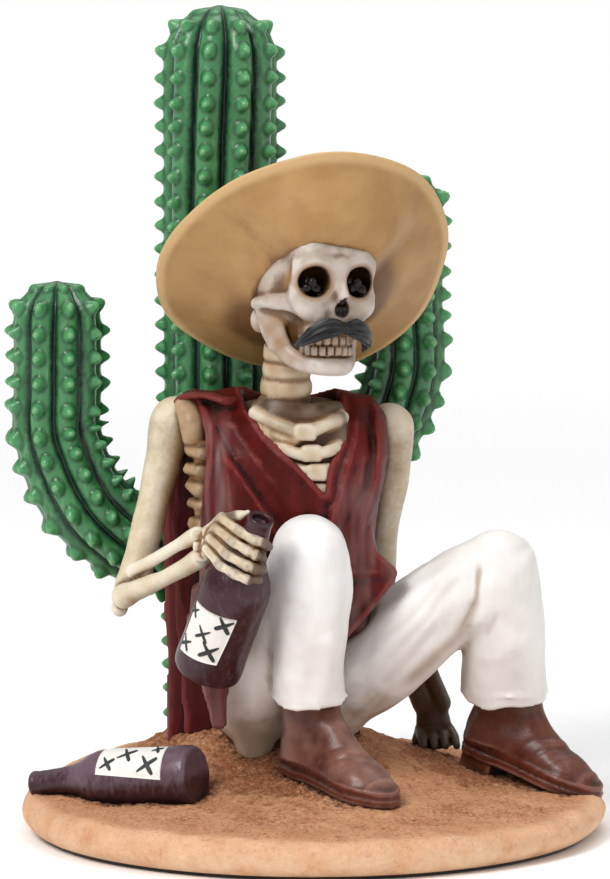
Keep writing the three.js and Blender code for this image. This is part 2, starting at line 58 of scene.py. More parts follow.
# Sizes repeated from the part's source
BASE_RADIUS = 59.1
RIM_BULGE = 2.9
PAD_INSET = 0.6
PAD_THICKNESS = 0.7
RIM_HEIGHT = 7.4
SEAT_MOUND = 7.5
TRUNK_MOUND = 8
SAND_TILT = 0.7
TRUNK_X, TRUNK_Y = -19.1, 28
SPINE_PITCH, SPINE_HEIGHT = 5.1, 1.8


# Numbers and curves


def unit(v):
    v = np.asarray(v, float)
    return v / np.linalg.norm(v)


def smooth(v, low, high):
    t = np.clip((v - low) / (high - low), 0, 1)
    return t * t * (3 - 2 * t)


def hill(v, width):
    """1 at 0, and less over a width to either side."""
    return np.exp(-((v / width) ** 2))


def most(*values):
    return functools.reduce(np.maximum, values)


def curve(points, per=8):
    """Points of a centripetal Catmull-Rom spline through the given ones, with per steps for each stretch."""
    p = np.asarray(points, float)
    p = np.vstack([2 * p[0] - p[1], p, 2 * p[-1] - p[-2]])
    out = []
    u = np.arange(per)[:, None] / per
    for a, b, c, d in zip(p, p[1:], p[2:], p[3:]):
        t0, t1, t2 = (max(np.linalg.norm(q) ** 0.5, 1e-6) for q in (b - a, c - b, d - c))
        m1 = ((b - a) / t0 - (c - a) / (t0 + t1) + (c - b) / t1) * t1
        m2 = ((c - b) / t1 - (d - b) / (t1 + t2) + (d - c) / t2) * t1
        out.append(b + m1 * u + (3 * (c - b) - 2 * m1 - m2) * u**2 + (2 * (b - c) + m1 + m2) * u**3)
    return np.vstack(out + [p[-2:-1]])


def mirrored(points):
    """A half row of points on the left, given from its end to the middle, with its mirror image added."""
    return [(-x, y, z) for x, y, z in points] + [tuple(p) for p in points[-2::-1]]


def noise(x, y, z, size, seed):
    """Smooth noise from -1 to 1 whose lumps are about size millimetres wide."""
    table = np.random.RandomState(seed).rand(24, 24, 24).astype(np.float32) * 2 - 1
    low, part = [], []
    for v in (x, y, z):
        v = np.asarray(v, np.float32) / size + 1000
        i = np.floor(v)
        f = v - i
        low.append(i.astype(int) % 24)
        part.append(f * f * (3 - 2 * f))
    total = 0
    for k in range(8):
        index = tuple((low[a] + (k >> a & 1)) % 24 for a in range(3))
        weight = 1
        for a in range(3):
            weight = weight * (part[a] if k >> a & 1 else 1 - part[a])
        total = total + table[index] * weight
    return total


def soft_least(a, b, blend):
    """The lesser of two distances, rounded off over the blend where they are equal."""
    if blend <= 0:
        return np.minimum(a, b)
    h = np.clip(0.5 + 0.5 * (b - a) / blend, 0, 1)
    return b + (a - b) * h - blend * h * (1 - h)


def blur(a, reach):
    """Box blur, run twice along each axis."""
    for axis in range(3):
        for _ in range(2):
            pad = [(0, 0)] * 3
            pad[axis] = (reach + 1, reach)
            total = np.cumsum(np.pad(a, pad, mode="edge"), axis=axis, dtype=np.float32)
            total = np.moveaxis(total, axis, 0)
            n = a.shape[axis]
            a = np.moveaxis((total[2 * reach + 1:][:n] - total[:n]) / (2 * reach + 1), 0, axis)
    return a


def sample(a, places):
    """Values of a grid at places given in its own steps."""
    places = np.clip(places, 0, np.array(a.shape) - 1.001)
    i = places.astype(int)
    f = places - i
    total = 0
    for k in range(8):
        step = [k >> b & 1 for b in range(3)]
        weight = np.prod([f[:, b] if step[b] else 1 - f[:, b] for b in range(3)], axis=0)
        total = total + a[i[:, 0] + step[0], i[:, 1] + step[1], i[:, 2] + step[2]] * weight
    return total


def relax(points, quads, times):
    """Evens out the steps that the grid leaves in a surface, and keeps its size."""
    edges = np.vstack([quads[:, [k, (k + 1) % 4]] for k in range(4)])
    count = np.bincount(edges[:, 0], minlength=len(points))[:, None]
    for k in range(2 * times):
        mean = np.stack([np.bincount(edges[:, 0], points[edges[:, 1], a], len(points)) for a in range(3)], 1)
        points = points + (0.5 if k % 2 == 0 else -0.52) * (mean / count - points)
    return points


def line_distance(x, z, points):
    """Distance in a plane from an open line of points, and the share along it of the nearest place."""
    best, along = 1e3, 0
    n = len(points) - 1
    for k in range(n):
        (ax, az), (bx, bz) = points[k], points[k + 1]
        dx, dz = bx - ax, bz - az
        h = np.clip(((x - ax) * dx + (z - az) * dz) / (dx * dx + dz * dz), 0, 1)
        d = np.hypot(x - ax - h * dx, z - az - h * dz)
        along = np.where(d < best, (k + h) / n, along)
        best = np.minimum(best, d)
    return best, along


def outline_distance(x, z, points):
    """Distance in a plane from a closed outline, negative inside."""
    inside = np.zeros(np.broadcast(x, z).shape, bool)
    for (ax, az), (bx, bz) in zip(points, points[1:] + points[:1]):
        if az != bz:
            inside ^= ((az > z) != (bz > z)) & (x < (bx - ax) * (z - az) / (bz - az) + ax)
    return line_distance(x, z, points + points[:1])[0] * np.where(inside, -1, 1)


# Clay: solids made on a grid of distances


class Clay:
    """A solid held as distances on a grid, negative inside. Forms are added to it or cut out of it."""

    def __init__(self, low, high, step):
        self.low, self.step = np.array(low, float), step * COARSE
        self.size = np.ceil((np.array(high) - self.low) / self.step).astype(int) + 1
        self.d = np.full(self.size, 5.0, np.float32)

    def window(self, low, high):
        i = np.clip(np.floor((np.asarray(low) - self.low) / self.step).astype(int), 0, self.size - 1)
        j = np.clip(np.ceil((np.asarray(high) - self.low) / self.step).astype(int) + 1, i + 1, self.size)
        return i, j

    def axes(self, i=(0, 0, 0), j=None):
        j = self.size if j is None else j
        x, y, z = ((self.low[k] + self.step * np.arange(i[k], j[k])).astype(np.float32) for k in range(3))
        return x[:, None, None], y[None, :, None], z[None, None, :]

    def mix(self, i, j, shape, blend=0.0, cut=False):
        part = tuple(slice(a, b) for a, b in zip(i, j))
        if cut:
            self.d[part] = -soft_least(-self.d[part], shape, blend)
        else:
            self.d[part] = soft_least(self.d[part], shape, blend)

    def tube(self, points, radii, wide=(1, 0, 0), ends="rr", blend=0.0, cut=False, fold=None, per=8):
        """Limb through points. A radius is one number, or a pair along the wide direction and across it.

        Each end is r, round, or f, flat. fold gives how far the skin stands out by angle and share of length.
        """
        line = curve(points, per)
        pairs = np.array([r if isinstance(r, tuple) else (r, r) for r in radii], float)
        at = np.arange(len(line)) / per
        k = np.minimum(at.astype(int), len(pairs) - 2)
        r = pairs[k] + (pairs[k + 1] - pairs[k]) * smooth(at - k, 0, 1)[:, None]
        margin = 1.5 + blend
        i, j = self.window(line.min(0) - r.max() - margin, line.max(0) + r.max() + margin)
        shape = np.full(j - i, 5.0, np.float32)
        angle, along = (np.zeros(j - i, np.float32), np.zeros(j - i, np.float32)) if fold else (None, None)
        for k in range(len(line) - 1):
            a, b = line[k], line[k + 1]
            length = np.linalg.norm(b - a)
            t = (b - a) / length
            across = unit(np.cross(t, wide))
            side = np.cross(across, t)
            reach = r[k:k + 2].max() + margin
            p, q = self.window(np.minimum(a, b) - reach, np.maximum(a, b) + reach)
            x, y, z = self.axes(p, q)
            x, y, z = x - a[0], y - a[1], z - a[2]
            w = x * t[0] + y * t[1] + z * t[2]
            h = np.clip(w / length, 0, 1)
            wa = r[k, 0] + (r[k + 1, 0] - r[k, 0]) * h
            wb = r[k, 1] + (r[k + 1, 1] - r[k, 1]) * h
            low = np.minimum(wa, wb)
            u = (x * side[0] + y * side[1] + z * side[2]) / wa
            v = (x * across[0] + y * across[1] + z * across[2]) / wb
            w = (w - h * length) / low
            far = np.sqrt(u * u + v * v + w * w)
            slope = np.sqrt((u / wa) ** 2 + (v / wb) ** 2 + (w / low) ** 2) + 1e-6
            d = far * (far - 1) / slope
            part = tuple(slice(m, n) for m, n in zip(p - i, q - i))
            if fold:
                nearer = d < shape[part]
                angle[part] = np.where(nearer, np.arctan2(v, u), angle[part])
                along[part] = np.where(nearer, (k + h) / (len(line) - 1), along[part])
            shape[part] = np.minimum(shape[part], d)
        x, y, z = self.axes(i, j)
        for end, at, sign in ((ends[0], 0, -1), (ends[1], -1, 1)):
            if end == "f":
                t = unit(line[1] - line[0]) if at == 0 else unit(line[-1] - line[-2])
                c = line[at]
                shape = np.maximum(shape, sign * ((x - c[0]) * t[0] + (y - c[1]) * t[1] + (z - c[2]) * t[2]))
        if fold:
            shape = shape - fold(angle, along)
        self.mix(i, j, shape, blend, cut)

    def merge(self, shape, blend=0.0, cut=False):
        """Adds or cuts a shape that is given over the whole grid."""
        self.mix((0, 0, 0), self.size, shape, blend, cut)

    def ball(self, centre, size, blend=0.0, cut=False):
        size = np.broadcast_to(np.asarray(size, float), 3)
        reach = size.max() + 1.5 + blend
        i, j = self.window(np.array(centre) - reach, np.array(centre) + reach)
        u, v, w = ((axis - middle) / half for axis, middle, half in zip(self.axes(i, j), centre, size))
        far = np.sqrt(u * u + v * v + w * w)
        slope = np.sqrt((u / size[0]) ** 2 + (v / size[1]) ** 2 + (w / size[2]) ** 2) + 1e-6
        self.mix(i, j, far * (far - 1) / slope, blend, cut)

    def block(self, centre, half, corner=0.4, blend=0.0, turn=((1, 0, 0), (0, 1, 0), (0, 0, 1))):
        """Box with rounded corners. turn is a matrix whose rows are its axes."""
        reach = np.linalg.norm(half) + 1.5 + blend
        i, j = self.window(np.array(centre) - reach, np.array(centre) + reach)
        x, y, z = (axis - middle for axis, middle in zip(self.axes(i, j), centre))
        q = [np.abs(x * row[0] + y * row[1] + z * row[2]) - h + corner for row, h in zip(turn, half)]
        out = np.sqrt(sum(np.maximum(v, 0) ** 2 for v in q))
        self.mix(i, j, out + np.minimum(most(*q), 0) - corner, blend)

    def creases(self, lines, behind, front=1.5):
        """Raises and lowers the skin along lines in the XZ plane, where y is less than behind."""
        x, y, z = self.axes()
        shift = 0
        for line, height, width in lines:
            d, along = line_distance(x[:, 0], z[:, 0], line)
            ends = smooth(along, -0.1, 0.2) * smooth(1 - along, -0.1, 0.3)
            shift = shift + height * hill(d, width) * ends
        self.d -= shift[:, None, :] * smooth(behind - y, -front, front)

    def push(self, amount):
        """Moves the skin out by an amount in millimetres, which may differ from place to place."""
        self.d -= amount

    def roughen(self, *lumps):
        """Uneven skin: the height, the width and the seed of each kind of lump."""
        x, y, z = self.axes()
        self.push(sum(height * noise(x, y, z, width, seed) for height, width, seed in lumps))

    def surface(self, times=2):
        """Points and quads of the skin, and its fine and its wide hollowness, which is below 0 on ridges."""
        limit = 3 * self.step
        grid = vdb.FloatGrid(limit)
        grid.copyFromArray(np.clip(self.d, -limit, limit).astype(np.float32))
        points, quads = grid.convertToQuads(0.0)
        points, quads = points.astype(float), quads[:, ::-1].astype(np.int64)
        filled = np.clip(0.5 - self.d / self.step, 0, 1)
        fine = sample(blur(filled, max(1, round(0.45 / self.step))), points)
        wide = sample(blur(filled, max(2, round(1.1 / self.step))), points)
        points = relax(points, quads, times)
        return self.low + points * self.step, quads, fine * 2 - 1, wide * 2 - 1


def off_limbs(p, limbs):
    """Distance of points from the nearest of some limbs, each a line of points and a radius."""
    best = np.full(len(p), 9.0)
    for line, r in limbs:
        for a, b in zip(line, line[1:]):
            a, b = np.array(a), np.array(b)
            h = np.clip((p - a) @ (b - a) / np.sum((b - a) ** 2), 0, 1)
            best = np.minimum(best, np.linalg.norm(p - a - h[:, None] * (b - a), axis=1) - r)
    return best


def drawn(p, lines):
    """Strength of soft brush lines in the XZ plane: points, strength and width."""
    total = 0
    for line, strength, width in lines:
        d, along = line_distance(p[:, 0], p[:, 2], line)
        ends = smooth(along, -0.1, 0.2) * smooth(1 - along, -0.1, 0.2)
        total = np.maximum(total, strength * hill(d, width) * ends)
    return total


# Meshes, and what each stands for in the part

pieces = []


def stand(name, data, place=(0, 0, 0), turn=(0, 0, 0)):
    """Puts a mesh, a light or the camera into the scene."""
    obj = bpy.data.objects.new(name, data)
    obj.location, obj.rotation_euler = place, turn
    bpy.context.scene.collection.objects.link(obj)
    return obj


def piece(name, points, faces, material, node="figurine", slot="painted_resin", **marks):
    """Closed mesh from arrays of points in millimetres and faces, with a number per point for each mark."""
    corners = np.concatenate([f.ravel() for f in faces])
    sizes = np.concatenate([np.full(len(f), f.shape[1]) for f in faces])
    mesh = bpy.data.meshes.new(name)
    mesh.vertices.add(len(points))
    mesh.vertices.foreach_set("co", (points * MM).astype(np.float32).ravel())
    mesh.loops.add(len(corners))
    mesh.loops.foreach_set("vertex_index", corners.astype(np.int32))
    mesh.polygons.add(len(sizes))
    mesh.polygons.foreach_set("loop_start", (np.cumsum(sizes) - sizes).astype(np.int32))
    mesh.update(calc_edges=True)
    mesh.validate()
    mesh.shade_smooth()
    mesh.materials.append(material)
    obj = stand(name, mesh)
    for key, values in marks.items():
        mark(obj, key, values)
    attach(obj, "root")
    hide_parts(node)
    pieces.append((obj, points, faces))


def mark(obj, key, values):
    layer = obj.data.attributes.new(key, "FLOAT", "POINT")
    layer.data.foreach_set("value", np.asarray(values, np.float32))


def clay_piece(name, clay, material, times=2, place=None, **marks):
    """The skin of the clay. Each mark is a function of its points, which place then moves."""
    points, quads, fine, wide = clay.surface(times)
    given = {key: make(points) for key, make in marks.items()}
    if place:
        points = place(points)
    piece(name, points, [quads], material, fine=fine - np.median(fine), wide=wide - np.median(wide), **given)


def around(sides):
    """Angles all the way round."""
    return (np.arange(sides) / sides * 2 * np.pi)[None, :]


def grid_faces(rows, sides):
    """Quads between rows of points that close round, and a fan at each end to the two points after them."""
    k, j = np.meshgrid(np.arange(rows - 1), np.arange(sides), indexing="ij")
    a, b = (k * sides + j).ravel(), (k * sides + (j + 1) % sides).ravel()
    quads = np.stack([a, b, b + sides, a + sides], 1)
    j = np.arange(sides)
    n, last = (j + 1) % sides, (rows - 1) * sides
    first_fan = np.stack([n, j, np.full(sides, rows * sides)], 1)
    last_fan = np.stack([last + j, last + n, np.full(sides, rows * sides + 1)], 1)
    return [quads, np.vstack([first_fan, last_fan])]


def turned(faces, points):
    """The faces turned over if they face inwards."""
    tris = np.vstack([f[:, [0, 1, 2]] for f in faces] + [f[:, [0, 2, 3]] for f in faces if f.shape[1] == 4])
    a, b, c = (points[tris[:, k]] for k in range(3))
    inwards = np.einsum("ij,ij->", a, np.cross(b, c)) < 0
    return [f[:, ::-1] for f in faces] if inwards else faces


def round_piece(name, rows, ends, material, centre=(0, 0, 0), node="figurine", slot="painted_resin", **marks):
    """Piece of rows of points that close round, and one point beyond each end.

    A mark is a grid of numbers and those of the two end points.
    """
    points = np.vstack([rows.reshape(-1, 3), *ends])
    faces = turned(grid_faces(*rows.shape[:2]), points - centre)
    for key, (grid, two) in marks.items():
        marks[key] = np.append(np.broadcast_to(grid, rows.shape[:2]), two)
    piece(name, points, faces, material, node, slot, **marks)


# Paints. Patterns are sized in millimetres, and grit or brush marks too fine to show are drawn at 0.5 mm


def colour(code):
    """Linear colour from an sRGB hex code."""
    parts = [int(code[i:i + 2], 16) / 255 for i in (1, 3, 5)]
    return (*(v / 12.92 if v <= 0.04045 else ((v + 0.055) / 1.055) ** 2.4 for v in parts), 1)


def add(tree, kind, inputs=None, out=0, **settings):
    """Adds a node with its settings and inputs, values or other nodes' outputs, and gives one output."""
    node = tree.nodes.new("ShaderNode" + kind)
    for key, value in settings.items():
        setattr(node, key, value)
    for key, value in (inputs or {}).items():
        if isinstance(value, bpy.types.NodeSocket):
            tree.links.new(value, node.inputs[key])
        else:
            node.inputs[key].default_value = value
    return node.outputs[out] if node.outputs else node


class Paint:
    """One paint, built up from coats of colour laid over each other."""

    def __init__(self, name):
        self.material = bpy.data.materials.new(name)
        self.material.use_nodes = True
        self.tree = self.material.node_tree
        self.tree.nodes.clear()
        place = add(self.tree, "TexCoord", out="Object")
        self.mm = add(self.tree, "VectorMath", {0: place, 1: (1 / MM,) * 3}, operation="MULTIPLY")

    def mottle(self, size, detail=3.0, stretch=(1, 1, 1)):
        """Uneven patches from 0 to 1, of a size in millimetres, longer where the stretch is below 1."""
        place = add(self.tree, "VectorMath", {0: self.mm, 1: stretch}, operation="MULTIPLY")
        inputs = {"Vector": place, "Scale": 1 / size, "Detail": detail, "Roughness": 0.6}
        return add(self.tree, "TexNoise", inputs, "Fac")

    def total(self, *terms, plus=0.0):
        """Sum of weights times the marks of the mesh, by name, or times other outputs."""
        for weight, term in terms:
            if isinstance(term, str):
                term = add(self.tree, "Attribute", out="Fac", attribute_name=term)
            plus = add(self.tree, "Math", {0: term, 1: weight, 2: plus}, operation="MULTIPLY_ADD")
        return plus

    def coat(self, under, code, *covers, strength=1.0):
        """A colour over what is under it, as strong as every cover between its low and its high end."""
        for cover, low, high in covers:
            inputs = {"Value": cover, "From Min": low, "From Max": high, "To Max": strength}
            strength = add(self.tree, "MapRange", inputs, interpolation_type="SMOOTHSTEP")
        return add(self.tree, "Mix", {0: strength, 6: under, 7: colour(code)}, 2, data_type="RGBA")

    def finish(self, base, roughness, bump=None, depth=0.0, specular=0.5, sheen=0.0):
        inputs = {"Base Color": base, "Roughness": roughness, "Specular IOR Level": specular,
                  "Sheen Weight": sheen}
        if bump is not None:
            inputs["Normal"] = add(self.tree, "Bump",
                                   {"Height": bump, "Distance": depth * MM, "Strength": 1.0})
        shader = add(self.tree, "BsdfPrincipled", inputs)
        add(self.tree, "OutputMaterial", {"Surface": shader})
        return self.material


def wash_paint(name, base, second, wash_and_shade, light, dirt_and_shade, hollow, strength, ridge, glint, under, roughness,
               specular, patch=5.0, streak=(1, 1, 1), tint=None, stain=None, wet=None, grain=0.06,
               speckle=0.4):
    """Hand paint on resin: two tones, a dark wash in the hollows with painted shade on the undersides, dirt and
    painted shade in the corners, and a dry-brushed light on the ridges.
    """
    p = Paint(name)
    c = p.coat(colour(base), second, (p.mottle(patch, 3.0, streak), 0.35, 0.68))
    speck = p.total((speckle, p.mottle(1.0, 4.0, streak)), plus=-0.5 * speckle)
    up = add(p.tree, "SeparateXYZ", {0: add(p.tree, "TexCoord", out="Normal")}, 2)
    # Painted shade: the wash also darkens the surfaces that face down, weighted by under
    deep = p.total((0.8, "fine"), (1, "wide"), (1, speck), (-under, up))
    c = p.coat(c, wash_and_shade, (deep, *hollow), strength=strength)
    # Dry-brushed light on the ridges; with the bottle, moustache and leather paints it is a painted highlight
    c = p.coat(c, light, (p.total((1, speck), (-1, "fine"), (-1, "wide")), *ridge), strength=glint)
    # Dirt and painted shade where other pieces crowd in
    c = p.coat(c, dirt_and_shade, (p.total((1, "near"), (1, speck)), 0.05, 0.5), strength=0.8)
    if stain:
        c = p.coat(c, stain, strength=p.total((1, "stain")))
    if tint:
        c = p.coat(c, tint, strength=p.total((1, "tint")))
    if wet:
        roughness = p.total((wet - roughness, "tint"), plus=roughness)
    return p.finish(c, roughness, p.mottle(0.5), grain, specular)


def sand_paint():
    """Matt sandy paint over cast grit: a tan ground, rusty grit, pale crumbs and a pale scraped rim."""
    p = Paint("painted_sand")
    c = p.coat(colour("#d0946a"), "#e0a97f", (p.mottle(9.0, 5.0), 0.3, 0.7))
    fleck = p.mottle(0.9, 6.0)
    rust = p.total((1, "grit"), (3.4, fleck), (1, p.mottle(4.0, 5.0)), plus=-2.2)
    c = p.coat(c, "#8f5230", (rust, -0.05, 1.35), strength=0.9)
    c = p.coat(c, "#bb7350", (p.mottle(6.0), 0.5, 0.64), (p.mottle(0.9, 4.0), 0.47, 0.62), strength=0.75)
    c = p.coat(c, "#4a2712", (p.mottle(0.55), 0.6, 0.7), strength=p.total((0.8, "grit"), plus=0.12))
    c = p.coat(c, "#dcb083", (p.mottle(0.5, 2.0, (1.3, 1, 1)), 0.64, 0.74), strength=p.total((0.5, "grit")))
    c = p.coat(c, "#ecc9a6", (p.mottle(6.0, 4.0), 0.2, 0.75), strength=p.total((1, "rim")))
    # Dark grit and painted shade where the figure, the cactus and the fallen bottle crowd the sand
    near = p.total((1, "near"), (1.2, fleck), plus=-0.6)
    c = p.coat(c, "#3f2414", (near, 0.12, 0.6), strength=0.85)
    height = p.total((1, p.mottle(0.5, 5.0)), (0.8, p.mottle(1.6)))
    height = add(p.tree, "Math", {0: height, 1: p.total((-0.6, "rim"), plus=1.0)}, operation="MULTIPLY")
    return p.finish(c, 0.78, height, 0.85, 0.3)


def cactus_paint():
    """Glossy green paint with blue-black brushed into the grooves, pale streaks, pale spine tips as a painted
    highlight, and painted shade round each spine and where other pieces crowd in.
    """
    p = Paint("painted_cactus")
    c = p.coat(colour("#2b683a"), "#40804c", (p.mottle(4.0, 3.0, (1, 1, 0.4)), 0.3, 0.7))
    speck = p.total((0.5, p.mottle(1.2, 4.0)), plus=-0.25)
    groove = p.total((1, "groove"), (1, speck))
    spine = p.total((1, "spine"), (1, speck))
    streak = p.mottle(1.3, 4.0, (1, 1, 0.2))
    for code, strength, *covers in (
        ("#061a18", 0.9, (groove, 0.5, 0.98)), ("#76a878", 0.4, (groove, 0.98, 0.5), (streak, 0.54, 0.74)),
        ("#46935a", 0.45, (spine, 0.05, 0.3)),
        ("#12391f", 0.65, (p.total((1, "ring"), (1, speck)), 0.2, 1.0)), ("#86ba82", 0.45, (spine, 0.6, 1.0)),
        ("#10201a", 0.8, (p.total((1, "near"), (1, speck)), 0.1, 0.5)),
    ):
        c = p.coat(c, code, *covers, strength=strength)
    return p.finish(c, 0.28, p.mottle(0.7, 4.0), 0.1)


def hat_paint():
    """Satin tan paint for straw, lighter on the edge of the brim, with painted shadow in brown by the head."""
    p = Paint("painted_straw")
    c = p.coat(colour("#997243"), "#a98351", (p.mottle(9.0), 0.3, 0.7))
    c = p.coat(c, "#bf9c6c", (p.total((1, "rim")), 0.2, 1.0))
    # Painted shadow by the head: where the skull crowds the brim, and where the shade mark lies
    near = p.total((1, "near"), (0.25, p.mottle(1.5, 4.0)), plus=-0.125)
    inputs = {"Value": near, "From Min": 0.02, "From Max": 0.34}
    near = add(p.tree, "MapRange", inputs, interpolation_type="SMOOTHSTEP")
    near = add(p.tree, "Math", {0: near, 1: p.total((1, "shade"))}, operation="MAXIMUM")
    c = p.coat(c, "#5a3310", strength=p.total((0.88, near)))
    return p.finish(c, 0.5, p.mottle(0.9), 0.05, 0.4)


def plain_paint(name, base, second, size, detail, roughness, grain=None, depth=0.0, sheen=0.0):
    """Two tones in small patches, for what is the same all over."""
    p = Paint(name)
    c = p.coat(colour(base), second, strength=p.mottle(size, detail))
    return p.finish(c, roughness, p.mottle(*grain) if grain else None, depth, sheen=sheen)


SAND = sand_paint()
GREEN = cactus_paint()
STRAW = hat_paint()
# Ivory paint with a thin brown wash that stays in the hollows, painted shade in that brown on the undersides,
# and near-black painted shade as its tint
IVORY = wash_paint(
    "painted_bone", "#d6cab4", "#c8b698", "#6f4a22", "#e6dfd0", "#38210f", hollow=(-0.12, 0.34),
    strength=0.85, ridge=(0.08, 0.4), glint=0.6, under=0.16, roughness=0.4, specular=0.3, patch=6.0,
    tint="#3a1e08", stain="#946a3c", grain=0.05, speckle=0.18)
# The same, greyer, on the skull, partly as painted shade under the hat, with wet-looking black in the eyes and
# painted shade in the cheeks
SKULL = wash_paint(
    "painted_skull", "#b3a79d", "#a49687", "#5e3d20", "#d9d0ca", "#38210f", hollow=(0.0, 0.32), strength=0.85,
    ridge=(0.06, 0.4), glint=0.5, under=0.08, roughness=0.35, specular=0.26, patch=7.0, tint="#120602",
    stain="#8c6234", wet=0.12, grain=0.04, speckle=0.2)
# White paint with a grey-brown wash in the creases, a little painted shade on the undersides, and a brown tint
# for wash and painted shade
WHITE = wash_paint(
    "painted_white", "#f1efed", "#e6e3e0", "#b5a797", "#fafafa", "#857258", hollow=(0.12, 0.45), strength=0.5,
    ridge=(0.1, 0.4), glint=0.4, under=0.03, roughness=0.5, specular=0.35, patch=7.0, streak=(1, 1, 0.4),
    tint="#9c8161", speckle=0.2)
# Oxblood paint, dry-brushed with greyish pink on the folds, and greyish pink by the arm that is partly dust and
# partly painted sheen
OXBLOOD = wash_paint(
    "painted_oxblood", "#5c1512", "#45100c", "#220605", "#8a3f3a", "#160707", hollow=(0.06, 0.36),
    strength=0.85, ridge=(0.14, 0.42), glint=0.42, under=0.0, roughness=0.4, specular=0.14,
    streak=(1, 1, 0.25), tint="#7d5d5a", grain=0.08)
# Brown paint for leather, with a greyish painted sheen on the ridges and in spots, partly rubbed paint
BROWN = wash_paint(
    "painted_leather", "#5a2a1a", "#4a2014", "#220e07", "#94675a", "#1c0f08", hollow=(0.04, 0.34),
    strength=0.85, ridge=(0.02, 0.3), glint=0.5, under=-0.1, roughness=0.34, specular=0.35, patch=4.0,
    tint="#b58a78", grain=0.05)
# Glossy aubergine paint for glass, with violet-grey highlights
GLASSY = wash_paint(
    "painted_bottle", "#30121a", "#3a1820", "#160a0e", "#78626f", "#140809", hollow=(0.02, 0.35),
    strength=0.8, ridge=(0.3, 0.75), glint=0.6, under=0.1, roughness=0.28, specular=0.4, streak=(1, 1, 0.5),
    speckle=0.7)
# Satin black moustache paint with greyer strands, a painted highlight on the ridges
BLACK = wash_paint(
    "painted_black", "#101114", "#0b0c0e", "#030304", "#3b3e45", "#060504", hollow=(0.0, 0.25), strength=0.9,
    ridge=(0.04, 0.26), glint=0.6, under=0.0, roughness=0.36, specular=0.35, grain=0.03)
# Flat white label paint, black brush strokes, and pressed wool felt
LABEL = plain_paint("painted_label", "#ece9e4", "#dfdad3", 1.5, 3.0, 0.6, (0.5,), 0.04)
STROKE = plain_paint("painted_strokes", "#16181a", "#2c3133", 0.6, 3.0, 0.5)
FELT = plain_paint("pressed_felt", "#1b1a19", "#33302d", 0.4, 4.0, 0.95, (0.3, 4.0), 0.1, 0.4)


# Sandy base and felt pad


def sand_height(x, y):
    seat = SEAT_MOUND * np.exp(-((x - 4) ** 2) / 800 - (y - 16) ** 2 / 1568)
    heap = TRUNK_MOUND * np.exp(-((x - TRUNK_X) ** 2 + (y - TRUNK_Y + 2) ** 2) / 400)
    ripple = 0.35 * np.sin(x * 0.31 + 1) * np.sin(y * 0.27 + x * 0.08)
    return RIM_HEIGHT + seat + heap + ripple - SAND_TILT * x / BASE_RADIUS


def grit_at(x, y):
    """How rough the ground is, from 0 to 1: patches of grit, and grit heaped round what stands on it."""
    patch = 0.12 + 0.5 * smooth(noise(x, y, 0, 9, 3) + 0.7 * noise(x, y, 0, 3, 4), -0.7, 1.2)
    for cx, cy, size in ((0, -12, 15), (-19, 20, 18), (34, 12, 16), (-12, -6, 14), (-34, -12, 10)):
        near = 1.25 - np.hypot(x - cx, y - cy) / size
        patch = np.maximum(patch, smooth(near + 0.3 * noise(x, y, 0, 3, 5), 0, 0.6))
    return patch


def make_base():
    sides, rings = ((480, 74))
    a = around(sides)
    share = np.concatenate([np.linspace(0.02, 0.25, 8), np.linspace(0.25, 0.945, rings)[1:]])
    far = share[:, None] * BASE_RADIUS
    x, y = far * np.cos(a), far * np.sin(a)
    grit = grit_at(x, y) * smooth(1 - far / BASE_RADIUS, 0.03, 0.16)
    lumps = noise(x, y, 0, 1.3, 11) + 0.7 * noise(x, y, 0, 0.7, 12)
    lumps = (0.12 + 0.4 * grit) * lumps * smooth(BASE_RADIUS - far, 3, 8)
    z = sand_height(x, y) + 0.25 * noise(x, y, 0, 5, 13) + lumps
    # Two heaps of sand behind the hips
    z = z + 4 * np.exp(-((x + 22) ** 2 + (y - 10) ** 2) / 150)
    z = z + 3 * np.exp(-((x - 4) ** 2) / 330 - (y - 13) ** 2 / 170)
    top = np.stack([x, y, z], 2)
    foot = BASE_RADIUS - RIM_BULGE
    profile = curve([(BASE_RADIUS - 2.6, 7.15), (BASE_RADIUS - 1.0, 6.3), (BASE_RADIUS, 4.7),
                     (BASE_RADIUS - 0.5, 2.8), (foot + 0.4, 1.0), (foot - 0.5, PAD_THICKNESS)], 4)
    wobble = 0.16 * np.sin(3 * a + 1) + 0.12 * np.sin(7 * a) + 0.1 * np.sin(13 * a + 2)
    r, h = profile[:, :1], profile[:, 1:]
    edge = top[-1][:, 2][None, :] - profile[0, 1]
    r = r + wobble * smooth(h, 0.8, 2.5)
    r = r + noise(r * np.cos(a), r * np.sin(a), h, 2.2, 14) * 0.1 * smooth(h, 0.9, 2.0)
    rim = np.stack([r * np.cos(a), r * np.sin(a), h + edge * smooth(h, 3.5, 7.2)], 2)
    under = np.stack([0.5 * foot * np.cos(a), 0.5 * foot * np.sin(a), PAD_THICKNESS + 0 * a], 2)
    rows = np.concatenate([top, rim, under])
    rough = np.zeros(rows.shape[:2])
    rough[:len(grit)] = grit
    pale = smooth(np.hypot(rows[..., 0], rows[..., 1]), BASE_RADIUS - 5.5, BASE_RADIUS - 1.5)
    pale = pale * (0.55 + 0.45 * smooth(6.5 - rows[..., 2], 0, 4))
    ends = [0, 0, sand_height(0, 0)], [0, 0, PAD_THICKNESS]
    round_piece("sand_base", rows, ends, SAND, grit=(rough, (0, 0)), rim=(pale, (0, 0)))


def make_pad():
    a = around(120)
    radius = BASE_RADIUS - RIM_BULGE - PAD_INSET
    rings = [(radius - 0.15, 0), (radius, 0.15), (radius, PAD_THICKNESS - 0.1),
             (radius - 0.1, PAD_THICKNESS - 0.02)]
    rows = np.array([np.stack([r * np.cos(a[0]), r * np.sin(a[0]), z + 0 * a[0]], 1) for r, z in rings])
    ends = [0, 0, 0], [0, 0, PAD_THICKNESS - 0.02]
    round_piece("pad_felt", rows, ends, FELT, node="felt_pad", slot="felt")


# Cactus


